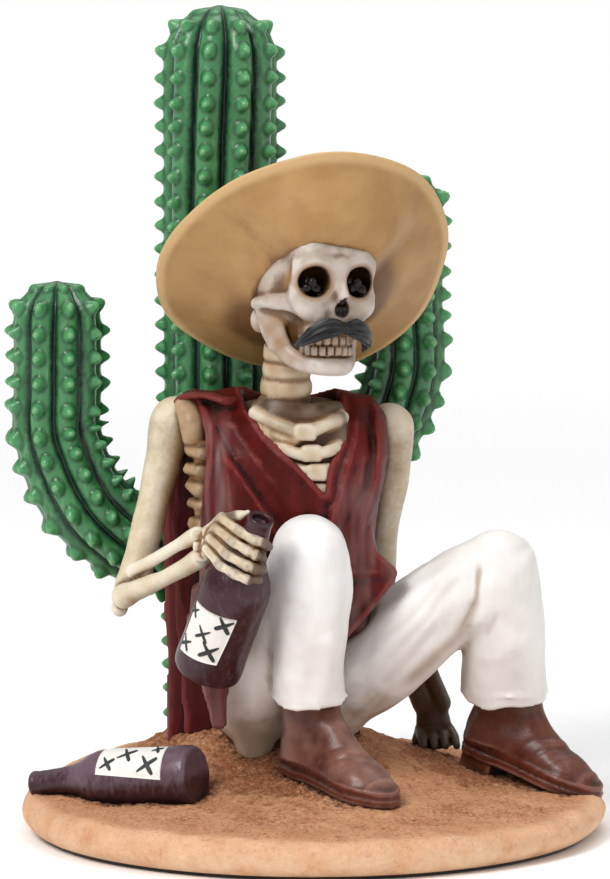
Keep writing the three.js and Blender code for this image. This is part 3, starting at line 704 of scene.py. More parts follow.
def make_stem(name, points, radius, foot, ribs, turn, sides, step):
    """Ribbed stem with a domed top and a row of short blunt spines along each rib."""
    line = curve(points, 60)
    run = np.concatenate([[0], np.cumsum(np.linalg.norm(np.diff(line, axis=0), axis=1))])
    length = run[-1]
    dome = radius * 0.95
    straight = length - dome
    total = straight + dome * 1.25
    levels = round(total / SPINE_PITCH)
    pitch = total / levels
    full = straight + dome * (math.pi / 2) / 1.08
    step, sides = step * COARSE, int(sides / COARSE)
    at = np.linspace(0, full - 0.25, int(full / step))[:, None]
    angle = around(sides)
    rise = np.maximum(0, (at - straight) / dome) * 1.08
    where = (np.minimum(at, straight) + dome * np.sin(rise))[:, 0]

    def along(rows):
        return np.stack([np.interp(where, run, rows[:, k]) for k in range(3)], 1)

    def units(rows):
        return rows / np.linalg.norm(rows, axis=1)[:, None]

    centre = along(line)
    tangent = units(along(np.gradient(line, run, axis=0)))
    across = units(np.cross(tangent, (1, 0, 0.02)))
    side = units(np.cross(across, tangent))
    wave = angle + 0.05 * np.sin(at * 0.09 + ribs)
    phase = (wave - turn) / (2 * np.pi / ribs)
    rib = np.round(phase)
    off = phase - rib
    width = foot + (radius - foot) * np.minimum(1, 2 * at / length)
    groove = np.abs(2 * off)
    share = 1.0 - 0.17 * groove**2.4 - 0.06 * hill(1 - groove, 0.16)
    jitter = 0.25 * np.sin(rib * 12.9 + np.round(at / pitch - 0.6) * 7.7)
    row = at / pitch - 0.6
    gap_run = (row - np.round(row)) * pitch + jitter
    gap_angle = off * (2 * np.pi / ribs) * width * np.cos(rise)
    q = np.sqrt((gap_run / 1.5) ** 2 + (gap_angle / 1.4) ** 2)
    spine = np.clip(1 - q**1.8, 0, 1)
    spine *= smooth(full - at, dome * 0.28, dome * 0.9)
    # Painted shade in a ring round the foot of each spine
    ring = hill(q - 1.15, 0.3) * (full - at > dome * 0.5)
    lift = SPINE_HEIGHT * spine + 0.35 * hill(q, 1.5)
    bark = 0.1 * noise(at, wave * 6, 0, 2.0, ribs + 3)
    dip = 1.0 - 0.12 * smooth(rise, 1.2, 1.57)
    out = (width * share + lift + bark) * np.cos(np.minimum(rise, 1.52)) * dip
    direction = np.cos(angle)[..., None] * side[:, None] + np.sin(angle)[..., None] * across[:, None]
    rows = centre[:, None] + out[..., None] * direction + (lift * np.sin(rise))[..., None] * tangent[:, None]
    deep = np.maximum(groove, smooth(rise, 1.3, 1.55))
    marks = {"groove": (deep, (1, 1)), "spine": (spine, (0, 0)), "ring": (ring, (0, 0))}
    round_piece(name, rows, (centre[0], centre[-1]), GREEN, **marks)


def make_cactus():
    trunk = [(TRUNK_X, TRUNK_Y, RIM_HEIGHT + 4), (TRUNK_X, TRUNK_Y, 90), (TRUNK_X, TRUNK_Y, 166)]
    make_stem("cactus_trunk", trunk, 11.6, 10, 10, 0.1, 180, 0.53)
    arms = ((-1, 33.6, 52.8, 109.6, 9.0, -6, 0.2, "left"), (1, 38.1, 68, 131.6, 7.9, 2, 0.5, "right"))
    for side, reach, start, top, radius, depth, turn, name in arms:
        bend = radius * 1.6
        x = TRUNK_X + side * reach
        path = [
            (TRUNK_X + side * 3.5, TRUNK_Y, start),
            (TRUNK_X + side * (reach - bend * 1.35), TRUNK_Y + depth * 0.6, start + 0.12 * bend),
            (TRUNK_X + side * (reach - bend * 0.45), TRUNK_Y + depth, start + bend * 0.72),
            (x, TRUNK_Y + depth, start + bend * 1.75),
            (x, TRUNK_Y + depth, (start + bend + top) / 2),
            (x, TRUNK_Y + depth, top),
        ]
        make_stem(f"cactus_{name}_arm", path, radius, radius, 9, turn, 144, 0.53)


# Hat


def make_hat():
    centre = np.array([-1.2, -0.6, 113.9])
    up = unit((-0.185, 0.74, 0.65))
    across = unit(np.cross(up, (0.966, 0, 0.259)))
    along = np.cross(across, up)
    per = 6
    # Radius, height and share of the brim's wave, from under the brim over its edge to the crown's top
    rings = curve([
        (2, -9, 0), (9, -9, 0), (12.8, -8.4, 0), (15.5, -6.6, 0), (18.5, -4.4, 0.2), (22, -2.4, 0.6),
        (26, -0.7, 0.9), (29.3, 0.7, 1), (29.95, 1.3, 1),
        (29.6, 1.95, 1), (28.2, 2.2, 1), (24, 2.1, 0.7), (18, 1.7, 0.3), (14.6, 1.7, 0), (13.3, 3.2, 0),
        (12.9, 5.2, 0), (12.5, 10, 0), (11.4, 13.6, 0), (9, 15.9, 0), (5, 16.9, 0), (1, 16.6, 0),
    ], per)
    a = around(240)
    radius, height, wave = (rings[:, k:k + 1] for k in range(3))
    lift = height + wave * (np.cos(2 * a + 0.5) + 0.5 * np.cos(3 * a - 1)) * (radius / 29.9) ** 2
    # The underside comes down over the forehead
    away = (a + math.radians(62) + np.pi) % (2 * np.pi) - np.pi
    level = np.arange(len(rings))[:, None]
    under = level < 8 * per
    ahead = smooth(math.radians(57) - np.abs(away), 0, 0.58)
    lift = lift - (lift + 11.7) * under * ahead * smooth(29 - radius, 0, 11)
    reach = radius * (1 + 0.02 * wave * np.cos(3 * a + 2.3) + 0.004 * wave * np.sin(9 * a))
    # Dent along the crown, and the band round its foot
    lift = lift - smooth(height, 3, 8) * 1.6 * hill(np.cos(a) * radius, 3.4) * smooth(height, 13, 16.5)
    reach = reach + 0.45 * smooth(height, 2.6, 3.2) * smooth(6.4 - height, 0, 0.5) * (level > len(rings) / 2)
    rows = (centre + (reach * np.cos(a))[..., None] * along + (reach * np.sin(a))[..., None] * across
            + lift[..., None] * up)
    brush = 0.07 * noise(radius * 0.5, a * 14, 0, 2.0, 21)
    rows = rows + brush[..., None] * up
    edge = smooth(radius, 27.0, 29.6)
    # Painted shadow on the underside of the brim, beside the head on both sides of the face
    brim_shadow = smooth(away, 0.6, 1.0) * smooth(19.5 - radius, 0, 5)
    other = smooth(-away, 1.5, 2.0) * smooth(18.5 + 4 * smooth(-away, 1.8, 2.5) - radius, 0, 4.5)
    brim_shadow = np.maximum(brim_shadow, other) * under
    ends = centre - 6.5 * up, centre + 16.6 * up
    round_piece("hat", rows, ends, STRAW, centre, rim=(edge, (0, 0)), shade=(brim_shadow, (1, 0)))


# Skull, in its own frame: it faces -Y, and the origin is behind the bridge of the nose


def turn_matrix(x, y, z):
    """Turns about X, then Y, then Z."""
    cx, sx, cy, sy, cz, sz = (f(v) for v in (x, y, z) for f in (math.cos, math.sin))
    rx = np.array([[1, 0, 0], [0, cx, -sx], [0, sx, cx]])
    ry = np.array([[cy, 0, sy], [0, 1, 0], [-sy, 0, cy]])
    rz = np.array([[cz, -sz, 0], [sz, cz, 0], [0, 0, 1]])
    return rz @ ry @ rx


def on_head(points):
    return points @ turn_matrix(0.02, 0.03, math.radians(27)).T + (0.3, -10.2, 110.8)


TOOTH = 0.31  # angle from one tooth to the next
TEETH_MIDDLE = -11.1  # height where the two rows meet
ARCH_BACK, ARCH = -5.2, 4.9  # centre and radius of the arch of teeth
EYES = [(-5.2, -11.2, 1.6), (4.5, -11.4, 1.5)]


def make_skull():
    c = Clay((-13.5, -16, -18.5), (13.5, 16, 12), 0.29)
    c.ball((0, 2, -0.4), (10.8, 12, 10.4))
    c.block((0.3, -4.8, 4.0), (8.5, 6.0, 6.4), 3.6, 2.2)
    for s in (-1, 1):
        c.ball((s * 13.3, -4.0, 0.4), (4.5, 4.2, 5.0), 1.2, True)
    c.block((0.1, -5.8, -1.6), (7.8, 4.9, 4.8), 3.2, 0.8)
    c.block((0.3, -5.6, -7.0), (6.1, 4.9, 3.6), 2.6, 0.9)
    c.ball((0, -0.4, -8.6), (6.2, 6, 6.2), 0.8)
    # Brow, and the bridge of the nose
    c.tube([(-7.4, -8.2, 5.0), (-4.8, -9.9, 5.5), (0, -10.2, 4.8), (4.8, -9.9, 5.5), (7.6, -8.2, 5.0)],
           [0.7, 0.95, 0.9, 0.95, 0.7], blend=1.6)
    c.tube([(0.2, -9.8, 4.2), (0.4, -10.3, 1.4), (0.7, -11.6, -1.2)], [1.8, 1.5, 1.0], blend=1.2)
    # Rim of the eye down to the cheek, cheek bone back to the ear, and the side of the jaw
    for s in (-1, 1):
        c.tube([(s * 7.9, -7.9, 4.8), (s * 8.0, -7.7, 1.6), (s * 7.9, -7.7, -1.8), (s * 6.8, -8.9, -3.7),
                (s * 4.6, -9.4, -4.8)], [0.7, 0.7, 1.4, 1.6, 1.1], blend=1.8)
        c.tube([(s * 7.6, -7.2, -2.7), (s * 9.3, -3.4, -2.9), (s * 10.7, 1.4, -3.4), (s * 10.4, 5, -3.9)],
               [(2.1, 1.2), (1.6, 0.9), (1.2, 0.85), (1.2, 1.0)], (0, 0, 1), blend=0.9)
        c.ball((s * 9.0, 5.6, -7.2), (1.9, 2.1, 2.6), 0.7)
        c.tube([(s * 9.6, 1.4, -3.8), (s * 8.9, 0.4, -8), (s * 7.9, -0.8, -11.4)],
               [(3.2, 1.0), (3.0, 1.15), (2.6, 1.3)], (-s * 0.457, -0.889, 0), blend=0.6)
    jaw = [(7.7, -0.8, -11.6), (6.6, -3.2, -13.6), (4.8, -6.0, -14.8), (2.8, -8.3, -15.1), (0, -9.2, -15.1)]
    tall = [(2.1, 1.2), (1.9, 1.3), (1.85, 1.4), (1.85, 1.5), (1.85, 1.5)]
    c.tube(mirrored(jaw), tall + tall[-2::-1], (0, 0, 1), blend=0.8)
    c.tube(mirrored([(2.6, -9.2, -15.5), (0, -9.9, -15.6)]), [(1.3, 1.0), (1.3, 1.1), (1.3, 1.0)], (0, 0, 1),
           blend=0.7)
    c.ball((11.7, -9.5, 1.2), (3.2, 4.5, 2.9), 0.8, True)
    # Eye sockets with lumps at the bottom, and the hole of the nose
    for s, (x, y, z) in zip((-1, 1), EYES):
        c.tube([(x - 0.2 * s, y - 3, z), (x, y + 1.6, z)], [(3.45, 3.3), (3.0, 2.9)], blend=0.4, cut=True)
        for dx, dz, r in ((-1.2, -1.3, 1.05), (0.9, -1.5, 1.15), (0.0, -0.1, 1.0)):
            c.ball((x + dx, y + 2.1, z + dz), r, 0.2)
    c.tube([(1.0, -14.8, -2.2), (0.9, -11.0, -2.0)], [0.75, 0.7], blend=0.4, cut=True)
    for s in (-1, 1):
        c.tube([(1.0 + s * 0.8, -14.8, -3.9), (0.9 + s * 0.75, -10.6, -3.9)], [(0.95, 1.4), (0.85, 1.3)],
               blend=0.5, cut=True)
    # Two rows of teeth round an arch
    for row, (z, tall) in enumerate(((-10.1, 0.98), (-12.1, 1.0))):
        for k in range(-5, 6):
            a = k * TOOTH + 0.15 * (row - 0.5)
            place = (ARCH * math.sin(a), ARCH_BACK - ARCH * math.cos(a), z + 0.12 * math.sin(k * 5 + row))
            axes = np.array([[math.cos(a), math.sin(a), 0], [-math.sin(a), math.cos(a), 0], [0, 0, 1]])
            c.block(place, (0.7 + 0.05 * math.sin(k * 7), 0.75, tall), 0.4, 0.03, axes)
    x, y, z = c.axes()
    crack = noise(x, y, z, 1.3, 31) * 0.18 * smooth(z, 6.0, 8.0)
    c.push(0.06 * noise(x, y, z, 3.0, 30) - np.abs(crack))

    def teeth(x, y, z):
        """Where the teeth are, and how near a point is to the lines between them."""
        height = np.abs(z - TEETH_MIDDLE)
        phase = (np.arctan2(x, ARCH_BACK - y) - 0.15 * ((z < TEETH_MIDDLE) - 0.5)) / TOOTH
        gap = smooth(np.abs(phase - np.round(phase)), 0.32, 0.48)
        root = smooth(height - 1.9, -0.1, 0.2) * smooth(2.5 - height, -0.2, 0.2)
        where = smooth(2.7 - height, -0.1, 0.5) * smooth(-7 - y, -1, 1)
        return where, most(gap, smooth(0.34 - height, -0.1, 0.2), root) * where

    def tint(p):
        """Near black in the eyes and the nose, brown between the teeth, and painted shade, brown, in the recess
        of the cheeks.
        """
        x, y, z = p.T
        eyes = 0
        for ex, _, ez in EYES:
            inside = smooth(3.4 - np.hypot(x - ex, z - ez), -0.1, 0.5)
            eyes = np.maximum(eyes, inside * (1 - 0.06 * smooth(z - ez, -0.5, 1.5)))
        nose = np.hypot((x - 1.0) / (1.35 - 0.28 * (z + 3.4)), (z + 3.5) / 2.2)
        nose = smooth(1.0 - nose, -0.05, 0.15) * smooth(y + 12.2, -0.3, 0.4)
        side = np.abs(x)
        cheek = smooth(8.0 + (z + 4.6) * 0.27 - side, -0.4, 0.5) * smooth(side - 4.2, -0.3, 0.8)
        cheek = cheek * smooth(y + 7.6, -0.6, 1.0) * smooth(-4.9 - z, -0.6, 0.8) * smooth(z + 13.6, -0.5, 0.5)
        return most(np.maximum(eyes, nose) * (y < -4), 0.5 * cheek, 0.5 * teeth(x, y, z)[1])

    def stain(p):
        """Brown on the teeth, low on the cheeks and round the eyes."""
        x, y, z = p.T
        where, gap = teeth(x, y, z)
        loose = 0.5 + 0.5 * noise(x, y, z, 2.2, 32)
        low = smooth(-3.5 - z, 0, 5) * smooth(y + 9.5, -1, 3) * smooth(np.abs(x) - 3.5, -1, 1.5)
        near = most(*(smooth(4.3 - np.hypot(x - ex, z - ez), 0, 0.9) for ex, _, ez in EYES))
        halo = near * smooth(-3 - y, 0, 1)
        total = np.maximum(where * (0.45 + 0.35 * gap + 0.2 * loose), 0.75 * low * loose + 0.12 * loose)
        return np.clip(np.maximum(total, halo * (0.55 + 0.35 * loose)), 0, 0.9)

    clay_piece("skull", c, SKULL, place=on_head, tint=tint, stain=stain)


def make_moustache():
    c = Clay((-10.5, -16, -14.5), (10.5, -6.5, -4.0), 0.17)

    def strands(angle, along):
        return 0.17 * np.cos(9 * angle + 4 * along) * smooth(along, 0.02, 0.2)

    c.tube([(0.5, -12.9, -7.4), (-2.4, -12.6, -7.3), (-5.2, -11.2, -8.5), (-6.9, -9.4, -10.1),
            (-7.7, -8.0, -11.0)],
           [(1.15, 0.9), (1.85, 1.15), (1.65, 1.0), (0.95, 0.75), (0.3, 0.35)], (0, 0, 1), blend=0.3,
           fold=strands)
    c.tube([(0.6, -12.9, -7.4), (3.1, -12.6, -7.5), (5.6, -11.2, -8.6), (7.1, -9.6, -10.2),
            (7.0, -8.4, -12.2)],
           [(1.15, 0.9), (1.9, 1.15), (1.9, 1.1), (1.4, 0.9), (0.3, 0.35)], (0, 0, 1), blend=0.3,
           fold=strands)
    clay_piece("moustache", c, BLACK, place=on_head, times=1)


# Bones of the body

RIBS_TOP, RIB_PITCH = 76.4, 3.6  # the side ribs under the right arm
NECK_FOOT, NECK_PITCH = 88.3, 3.55  # the dark rings of the neck


def make_chest():
    c = Clay((-29, -16, 54), (14, 14, 104), 0.4)

    def rings(angle, along):
        z = 103 - along * 24
        out = 0.08 * np.cos((z - 93.6) * 1.745)
        for level in (99.0, 95.4, 91.8, 88.3):
            out = out - 0.4 * hill(z - level, 0.28)
        return out

    c.tube([(-5.1, -4.4, 103), (-5.2, -3.4, 95), (-5.5, -2.4, 87), (-5.5, -1.6, 79)], [4.6, 4.8, 5.3, 6],
           ends="ff", fold=rings, per=14)
    c.tube([(-6, 4, 83), (-5.6, 2, 75), (-5, 1, 60)], [(15, 4.6), (15.6, 7.6), (14, 8)], blend=1)
    # Dirty slope between the neck and the collar bones
    c.tube([(-11, -3, 85.8), (-8, -5.6, 85.4), (-3, -6.4, 84.8), (2, -5.8, 85.2), (4.6, -4.4, 85.6)],
           [1.6, 2.2, 2.2, 2.1, 1.8], blend=1.2)
    c.block((-1.6, -6.4, 77.5), (8.5, 2.1, 8), 1.5, 1.0)
    bones = (
        ([(-11.6, -5.0, 85.0), (-10.2, -6.4, 84.4), (-7.0, -8.0, 83.0), (-3.2, -9.2, 81.5)],
         [1.2, 1.25, 1.35, 1.4]),
        ([(-10.2, -6.2, 82.6), (-8.8, -7.0, 81.8), (-6.4, -8.2, 80.6), (-3.4, -9.2, 80.0)],
         [1.0, 1.1, 1.1, 1.0]),
        ([(0.2, -9.4, 82.0), (2.4, -8.8, 82.8), (4.6, -7.4, 83.6), (6.0, -6.0, 84.2)],
         [1.25, 1.15, 1.2, 1.1]),
        ([(-8.6, -7.0, 79.6), (-6.4, -8.3, 78.7), (-4.6, -9.3, 77.8), (-2.6, -9.9, 77.2)],
         [1.0, 1.1, 1.15, 1.1]),
        ([(1.8, -9.9, 77.5), (3.3, -9.6, 77.9), (4.6, -8.8, 78.4)], [1.05, 1.1, 0.9]),
        ([(-5.6, -8.2, 75.0), (-3.4, -8.9, 74.4), (-1.4, -9.6, 74.0)], [1.0, 1.05, 1.0]),
        ([(2.0, -9.6, 74.2), (3.0, -9.3, 74.5)], [1.0, 0.9]),
    )
    for line, radii in bones:
        c.tube(line, [r * 1.15 for r in radii], blend=0.25)
    plates = (((-1.5, -9.5, 81.6), (2.2, 1.3, 1.8)), ((-0.3, -9.9, 77.4), (2.1, 1.2, 1.75)),
              ((0.8, -9.9, 73.5), (2.2, 1.1, 1.75)), ((1.3, -9.7, 70.0), (1.8, 1.1, 1.4)))
    for centre, half in plates:
        c.block(centre, half, 0.8, 0.15)
    # Shoulder blade and ribs seen under the right arm
    c.tube([(-25.8, 2, 86), (-24.2, -0.6, 82), (-24.0, 0, 77.5)], [2.2, 2.6, 1.9], blend=0.8)
    c.block((-20.8, 0.8, 68), (3.0, 3.6, 11), 1.5, 0.5)
    for k in range(6):
        middle = (-22.6 + 0.4 * math.sin(k * 5), -0.8, RIBS_TOP - RIB_PITCH * k + 0.4 * math.sin(k * 3))
        tilt = turn_matrix(0.1 + 0.15 * math.sin(k * 4), 0.3 + 0.2 * math.sin(k * 7), 0.5).T
        c.block(middle, (2.2, 3.3, 1.1 + 0.15 * (k % 3)), 0.9, 0.6, tilt)
    c.roughen((0.1, 2.2, 41))

    def shade(p):
        """Painted shade between the bones of the chest, between the side ribs and in the rings of the neck."""
        x, y, z = p.T
        limbs = [(line, 1.15) for line, _ in bones]
        limbs += [(((u - 0.8, v, w), (u + 0.8, v, w)), 1.6) for (u, v, w), _ in plates]
        gap = smooth(off_limbs(p, limbs), 0.2, 0.8) * smooth(NECK_FOOT - z, -0.3, 0.6) * smooth(x + 14, -1, 1)
        gap = gap * (0.85 + 0.1 * noise(x, y, z, 1.6, 46))
        level = (z - RIBS_TOP) / RIB_PITCH
        side = 0.8 * smooth(np.abs(level - np.round(level)), 0.3, 0.46) + 0.35 * noise(x, y, z, 2.0, 47)
        side = np.where(z < 79, side, 0.3 * noise(x, y, z, 1.6, 49)) * smooth(-17 - x, -1, 2)
        level = (z - NECK_FOOT) / NECK_PITCH
        band = hill(np.abs(level - np.round(level)) * NECK_PITCH, 0.5)
        return np.clip(most(gap, side, 0.45 * band * smooth(z, 88, 88.6)), 0, 0.93)

    def stain(p):
        # Brown on the neck and in loose patches all over, and brown that is partly painted shade on the side
        # under the right arm
        x, y, z = p.T
        loose = 0.5 + 0.5 * noise(x, y, z, 2.0, 48)
        side = 0.75 * smooth(-17 - x, -1, 2)
        neck = (0.3 + 0.4 * loose) * smooth(z, 88, 89)
        return np.clip(most(side, neck, 0.15 + 0.35 * loose), 0, 0.9)

    clay_piece("chest_bones", c, IVORY, tint=shade, stain=stain)


def make_arms():
    c = Clay((-43, -26, 41), (-20, 12, 92), 0.4)
    c.tube([(-28.6, 5.5, 81.6), (-30.2, 4, 75), (-32.4, 1.6, 66), (-34.6, -1.2, 56.5), (-36.2, -3, 50.4)],
           [4.6, 3.7, 3.2, 3.2, 3.4])
    c.ball((-28.0, 5.2, 83.2), (4.3, 4.6, 4.3), 1.2)
    c.ball((-24.8, 2.4, 84.6), (2.6, 3.2, 3.0), 0.7)
    c.ball((-37.4, -2.8, 49.2), (2.6, 2.6, 3.4), 0.8)
    c.ball((-38.9, -3.6, 45.6), (1.7, 1.8, 1.9), 0.25)
    c.tube([(-38.0, -6.4, 48.2), (-35.2, -8.8, 49.8), (-29, -14.8, 53.2), (-25, -18.4, 55.8),
            (-22.4, -20.6, 57.6)],
           [2.5, 2.1, 1.65, 1.8, 2.1], blend=0.15)
    c.tube([(-36.0, -8.2, 53.6), (-33, -10.6, 55.4), (-27.5, -16.2, 59.3), (-22.8, -20.6, 62.3)],
           [1.55, 1.3, 1.2, 1.75], blend=0.15)
    c.roughen((0.08, 3.0, 42))

    def stain(p):
        """Painted shade in brown down the inner side of the upper arm, turned away from the light."""
        x, _, z = p.T
        middle = np.interp(z, (50, 56.5, 66, 75, 82), (-36.2, -34.6, -32.4, -30.2, -28.4))
        return 0.7 * smooth(x - middle, 0.6, 3.2) * smooth(z - 0.65 * x - 80.5, -2, 3)

    clay_piece("right_arm_bones", c, IVORY, stain=stain)
    c = Clay((6, 0, 8), (34, 34, 90), 0.45)
    c.tube([(15.8, 6, 80.6), (16.4, 7.4, 72), (14.6, 9, 60), (13.4, 11, 47)], [4.6, 3.3, 2.8, 3.4])
    c.ball((15.4, 6.2, 81.4), (4.6, 4.8, 4.6), 1.4)
    c.tube([(14, 11.5, 45.6), (18.4, 17, 34), (23, 23, 22)], [2.9, 2.5, 2.4], blend=0.4)
    c.tube([(16.4, 11, 45.6), (21.6, 17, 35), (26.8, 23.5, 22)], [2, 1.7, 2], blend=0.4)
    c.tube([(24.4, 23.4, 22), (25.2, 24, 17.4), (25.4, 24, 14)], [(3, 2.2), (3.6, 2.2), (4.8, 2)], blend=0.8)
    for k in range(4):
        out = (k - 1.5) * 2.0
        finger = [(25.4 + out, 24, 16.4), (26 + out * 1.1, 21.6, 15.2), (26.4 + out * 1.15, 19.6, 13.6)]
        c.tube(finger, [1.15, 1.1, 0.85], blend=0.3)
    c.roughen((0.08, 3.0, 43))

    def shade(p):
        """Near black low down, where the arm is in shadow."""
        x, _, z = p.T
        return np.maximum(0.92 * smooth(38 - z, -5, 6), 0.2 * smooth(15 - x, -1, 2))

    clay_piece("left_arm_bones", c, IVORY, tint=shade)


def make_hand():
    c = Clay((-27, -36, 51), (-4, -17, 71), 0.2)

    def square(angle, along):
        return 0.07 * np.cos(4 * angle)

    # Wrist bones
    for place, half in (((-22.6, -23.0, 62.4), (1.15, 1.0, 1.0)), ((-22.5, -23.2, 60.3), (1.1, 1.0, 1.0)),
                        ((-22.2, -23.2, 58.3), (1.1, 1.0, 1.0)), ((-20.8, -24.6, 63.2), (1.0, 0.9, 0.9)),
                        ((-20.9, -25.0, 61.3), (1.0, 0.9, 0.9)), ((-20.9, -24.8, 59.4), (0.95, 0.9, 0.85))):
        c.block(place, half, 0.5, 0.1)
    c.tube([(-22.6, -20.6, 60), (-20.6, -22.6, 61)], [(1.0, 2.2), (1.0, 2.6)], (0.7, 0.7, 0), blend=0.2)
    c.tube([(-21, -22.8, 61), (-18.8, -25.6, 63)], [(0.8, 2.6), (0.8, 3.0)], (0.7, 0.7, 0), blend=0.3)
    c.tube([(-19.4, -26.6, 62.4), (-16, -29.6, 61.2), (-12.4, -31.4, 60.0), (-10.4, -31.6, 59.4)],
           [(1.1, 3.2), (1.1, 3.9), (1.1, 3.7), (1.0, 3.0)], (0.35, 0.93, 0), blend=0.3)
    for tip in ((-9.4, -32.4, 61.6), (-10.6, -32.6, 59.4), (-10.6, -32.6, 57), (-11.4, -32.4, 55)):
        x, y, z = tip
        c.tube([tip, (x + 0.7, y + 0.7, z - 0.3), (x + 0.9, y + 2.3, z - 0.6)], [1.0, 0.85, 0.6], blend=0.3)
    # From the wrist over the knuckle and two joints to the tip of each finger, from the index down
    fingers = (
        ((-20.8, -23.8, 63.4), (-17.9, -27.5, 66.4), (-14.2, -31.6, 64.1), (-11.4, -33.2, 62.7),
         (-9.4, -32.9, 61.9), 1.14),
        ((-20.8, -24.2, 61.8), (-18.9, -27.6, 64.4), (-15.5, -31.6, 62.2), (-12.7, -33.3, 60.7),
         (-11.1, -33.4, 59.8), 1.12),
        ((-20.9, -24.2, 60.2), (-19.9, -27.2, 62.4), (-16.7, -31.2, 59.6), (-12.9, -33.3, 57.8),
         (-11.2, -33.3, 57.0), 1.1),
        ((-21.0, -23.8, 58.6), (-20.7, -26.6, 60.3), (-18.0, -30.2, 57.3), (-15.3, -32.4, 56.0),
         (-12.4, -33.0, 54.9), 1.05),
    )
    for *joints, r in fingers:
        for k, (a, b) in enumerate(zip(joints, joints[1:])):
            a, b = np.array(a), np.array(b)
            if k:
                a, b = a + (b - a) * 0.07, b - (b - a) * 0.07
            c.tube([a, a + (b - a) * 0.5, b], [r * 1.02, r * 0.88, r * 1.02], blend=0.05, fold=square)
        for joint in joints[1:-1]:
            c.ball(joint, r * 0.98, 0.05)
    c.tube([(-17.8, -26.2, 65.8), (-15.2, -29.2, 66.9), (-12.7, -31.2, 68.0)], [1.3, 1.15, 0.45], blend=0.1)
    c.roughen((0.05, 1.6, 44))

    def between(p):
        """Painted shade between the fingers and at their tips, and a little dark round the middle joints."""
        x, _, z = p.T
        limbs = [(joints, 0.84 * r) for *joints, r in fingers]
        limbs.append((((-17.8, -26.2, 65.8), (-13, -31, 67.8)), 0.9))
        web = smooth(off_limbs(p, limbs), 0.08, 0.42) * smooth(x + 20.4, -0.5, 1.0)
        joint = np.min([np.linalg.norm(p - joints[2], axis=1) for *joints, _ in fingers], axis=0)
        tips = smooth(x + 10.7 + 0.35 * (61 - z), -0.3, 0.5)
        joint = 0.35 * smooth(1.45 - joint, -0.2, 0.2) * smooth(joint - 0.9, -0.2, 0.3)
        return most(0.8 * web, 0.85 * tips, joint)

    def stain(p):
        return 0.2 + 0.2 * noise(*p.T, 1.6, 45)

    clay_piece("right_hand_bones", c, IVORY, times=1, tint=between, stain=stain)


# Poncho vest

NECKLINE = [(-17, 96), (-14.5, 89.5), (-12.9, 86.2), (-9.9, 82.2), (-6.6, 78.9), (-2.6, 74.5), (2.5, 69.2),
            (2.7, 73.1), (3.4, 75.6), (5.6, 79.6), (6.1, 82.1), (5.4, 87.1), (6, 96)]
ARMHOLE = [(-45, 50), (-22.9, 50), (-22.6, 62.4), (-22.1, 68.2), (-21.3, 75.9), (-21.5, 80.5), (-22.8, 85.2),
           (-24.6, 87.4), (-27, 89.2), (-45, 89.2)]
FLAP = [(-6, 62), (11.6, 62), (13.0, 57), (16.9, 53.4), (16.4, 51.6), (11.6, 45.6), (6.6, 40.2), (0, 37),
        (-6, 44)]
LAP = [(-34, 2), (-28, 30), (-17, 40), (-12, 52), (4, 48), (7, 40.2), (12.4, 45.7), (17.4, 51.6), (40, 54),
       (40, 2)]
# At each height: the centre of the body in x and y, and its half width and half depth
VEST_LEVELS = [
    (20, -7, 4, 18.6, 11.6), (40, -6.5, 2.4, 18, 12.8), (54, -6.0, 1, 17.4, 12.8),
    (66, -5.6, 0.4, 18.6, 12.8), (76, -5.4, 0.9, 20.4, 11.8), (83, -5.8, 2.6, 20.8, 9.8),
    (87.4, -6.2, 4.6, 18.6, 6.4), (89.6, -6.6, 5, 9, 2.4),
]
# Folds as lines on the front: points, height (a valley is below 0) and width
FOLDS = [
    ([(-24.1, 88.4), (-21.8, 85.5), (-20.4, 82.2), (-20.2, 78.2), (-20.9, 73.5), (-21.4, 68.9), (-21.6, 60)],
     0.45, 0.7),
    ([(-21.5, 88.6), (-19.2, 83.2), (-17.8, 79.9), (-15.2, 75.5), (-12.5, 71.9), (-9.2, 66.9), (-6.6, 63.5),
      (-3, 57)], -0.5, 0.5),
    ([(-17.2, 76.6), (-14.4, 72.4), (-11.2, 67.8), (-8.2, 63), (-5, 57)], 0.5, 0.5),
    ([(-18.4, 88.4), (-16.5, 83.5), (-14.5, 80.5), (-11.2, 76.2), (-8.2, 72), (-3, 65)], 0.75, 1.3),
    ([(-18.2, 79.5), (-17.3, 75), (-16.7, 70), (-16.2, 64.9), (-16, 56)], 0.45, 0.8),
    ([(-20.5, 83), (-19, 77.9), (-18.6, 70), (-18.8, 60)], -0.25, 0.8),
    ([(-6.2, 72.2), (-3.6, 70.5), (-3.3, 66)], 0.25, 0.7),
    ([(-15.6, 90), (-12.9, 84.4), (-8.6, 79), (-3.6, 73.4), (0.6, 69.4)], -0.35, 0.8),
    ([(11.0, 87.4), (11.8, 77.1), (10.4, 71.0), (5.4, 62.0), (3.6, 52)], -0.5, 0.8),
    ([(12.6, 86.6), (13.6, 79.1), (13.3, 72.1), (10.6, 64.0), (8.4, 56.0), (7.6, 50)], 0.6, 0.9),
    ([(8.4, 86.4), (8.4, 80), (6.4, 72.1), (4.6, 66.0), (2.6, 58)], 0.55, 0.9),
    ([(10.0, 76), (9.5, 70), (6.8, 65), (3.4, 59)], 0.35, 0.7),
    ([(2.8, 68.4), (2.2, 62), (0.6, 54)], -0.4, 0.8),
    ([(0, 67), (-2, 60), (-4, 54)], -0.35, 1.0),
]


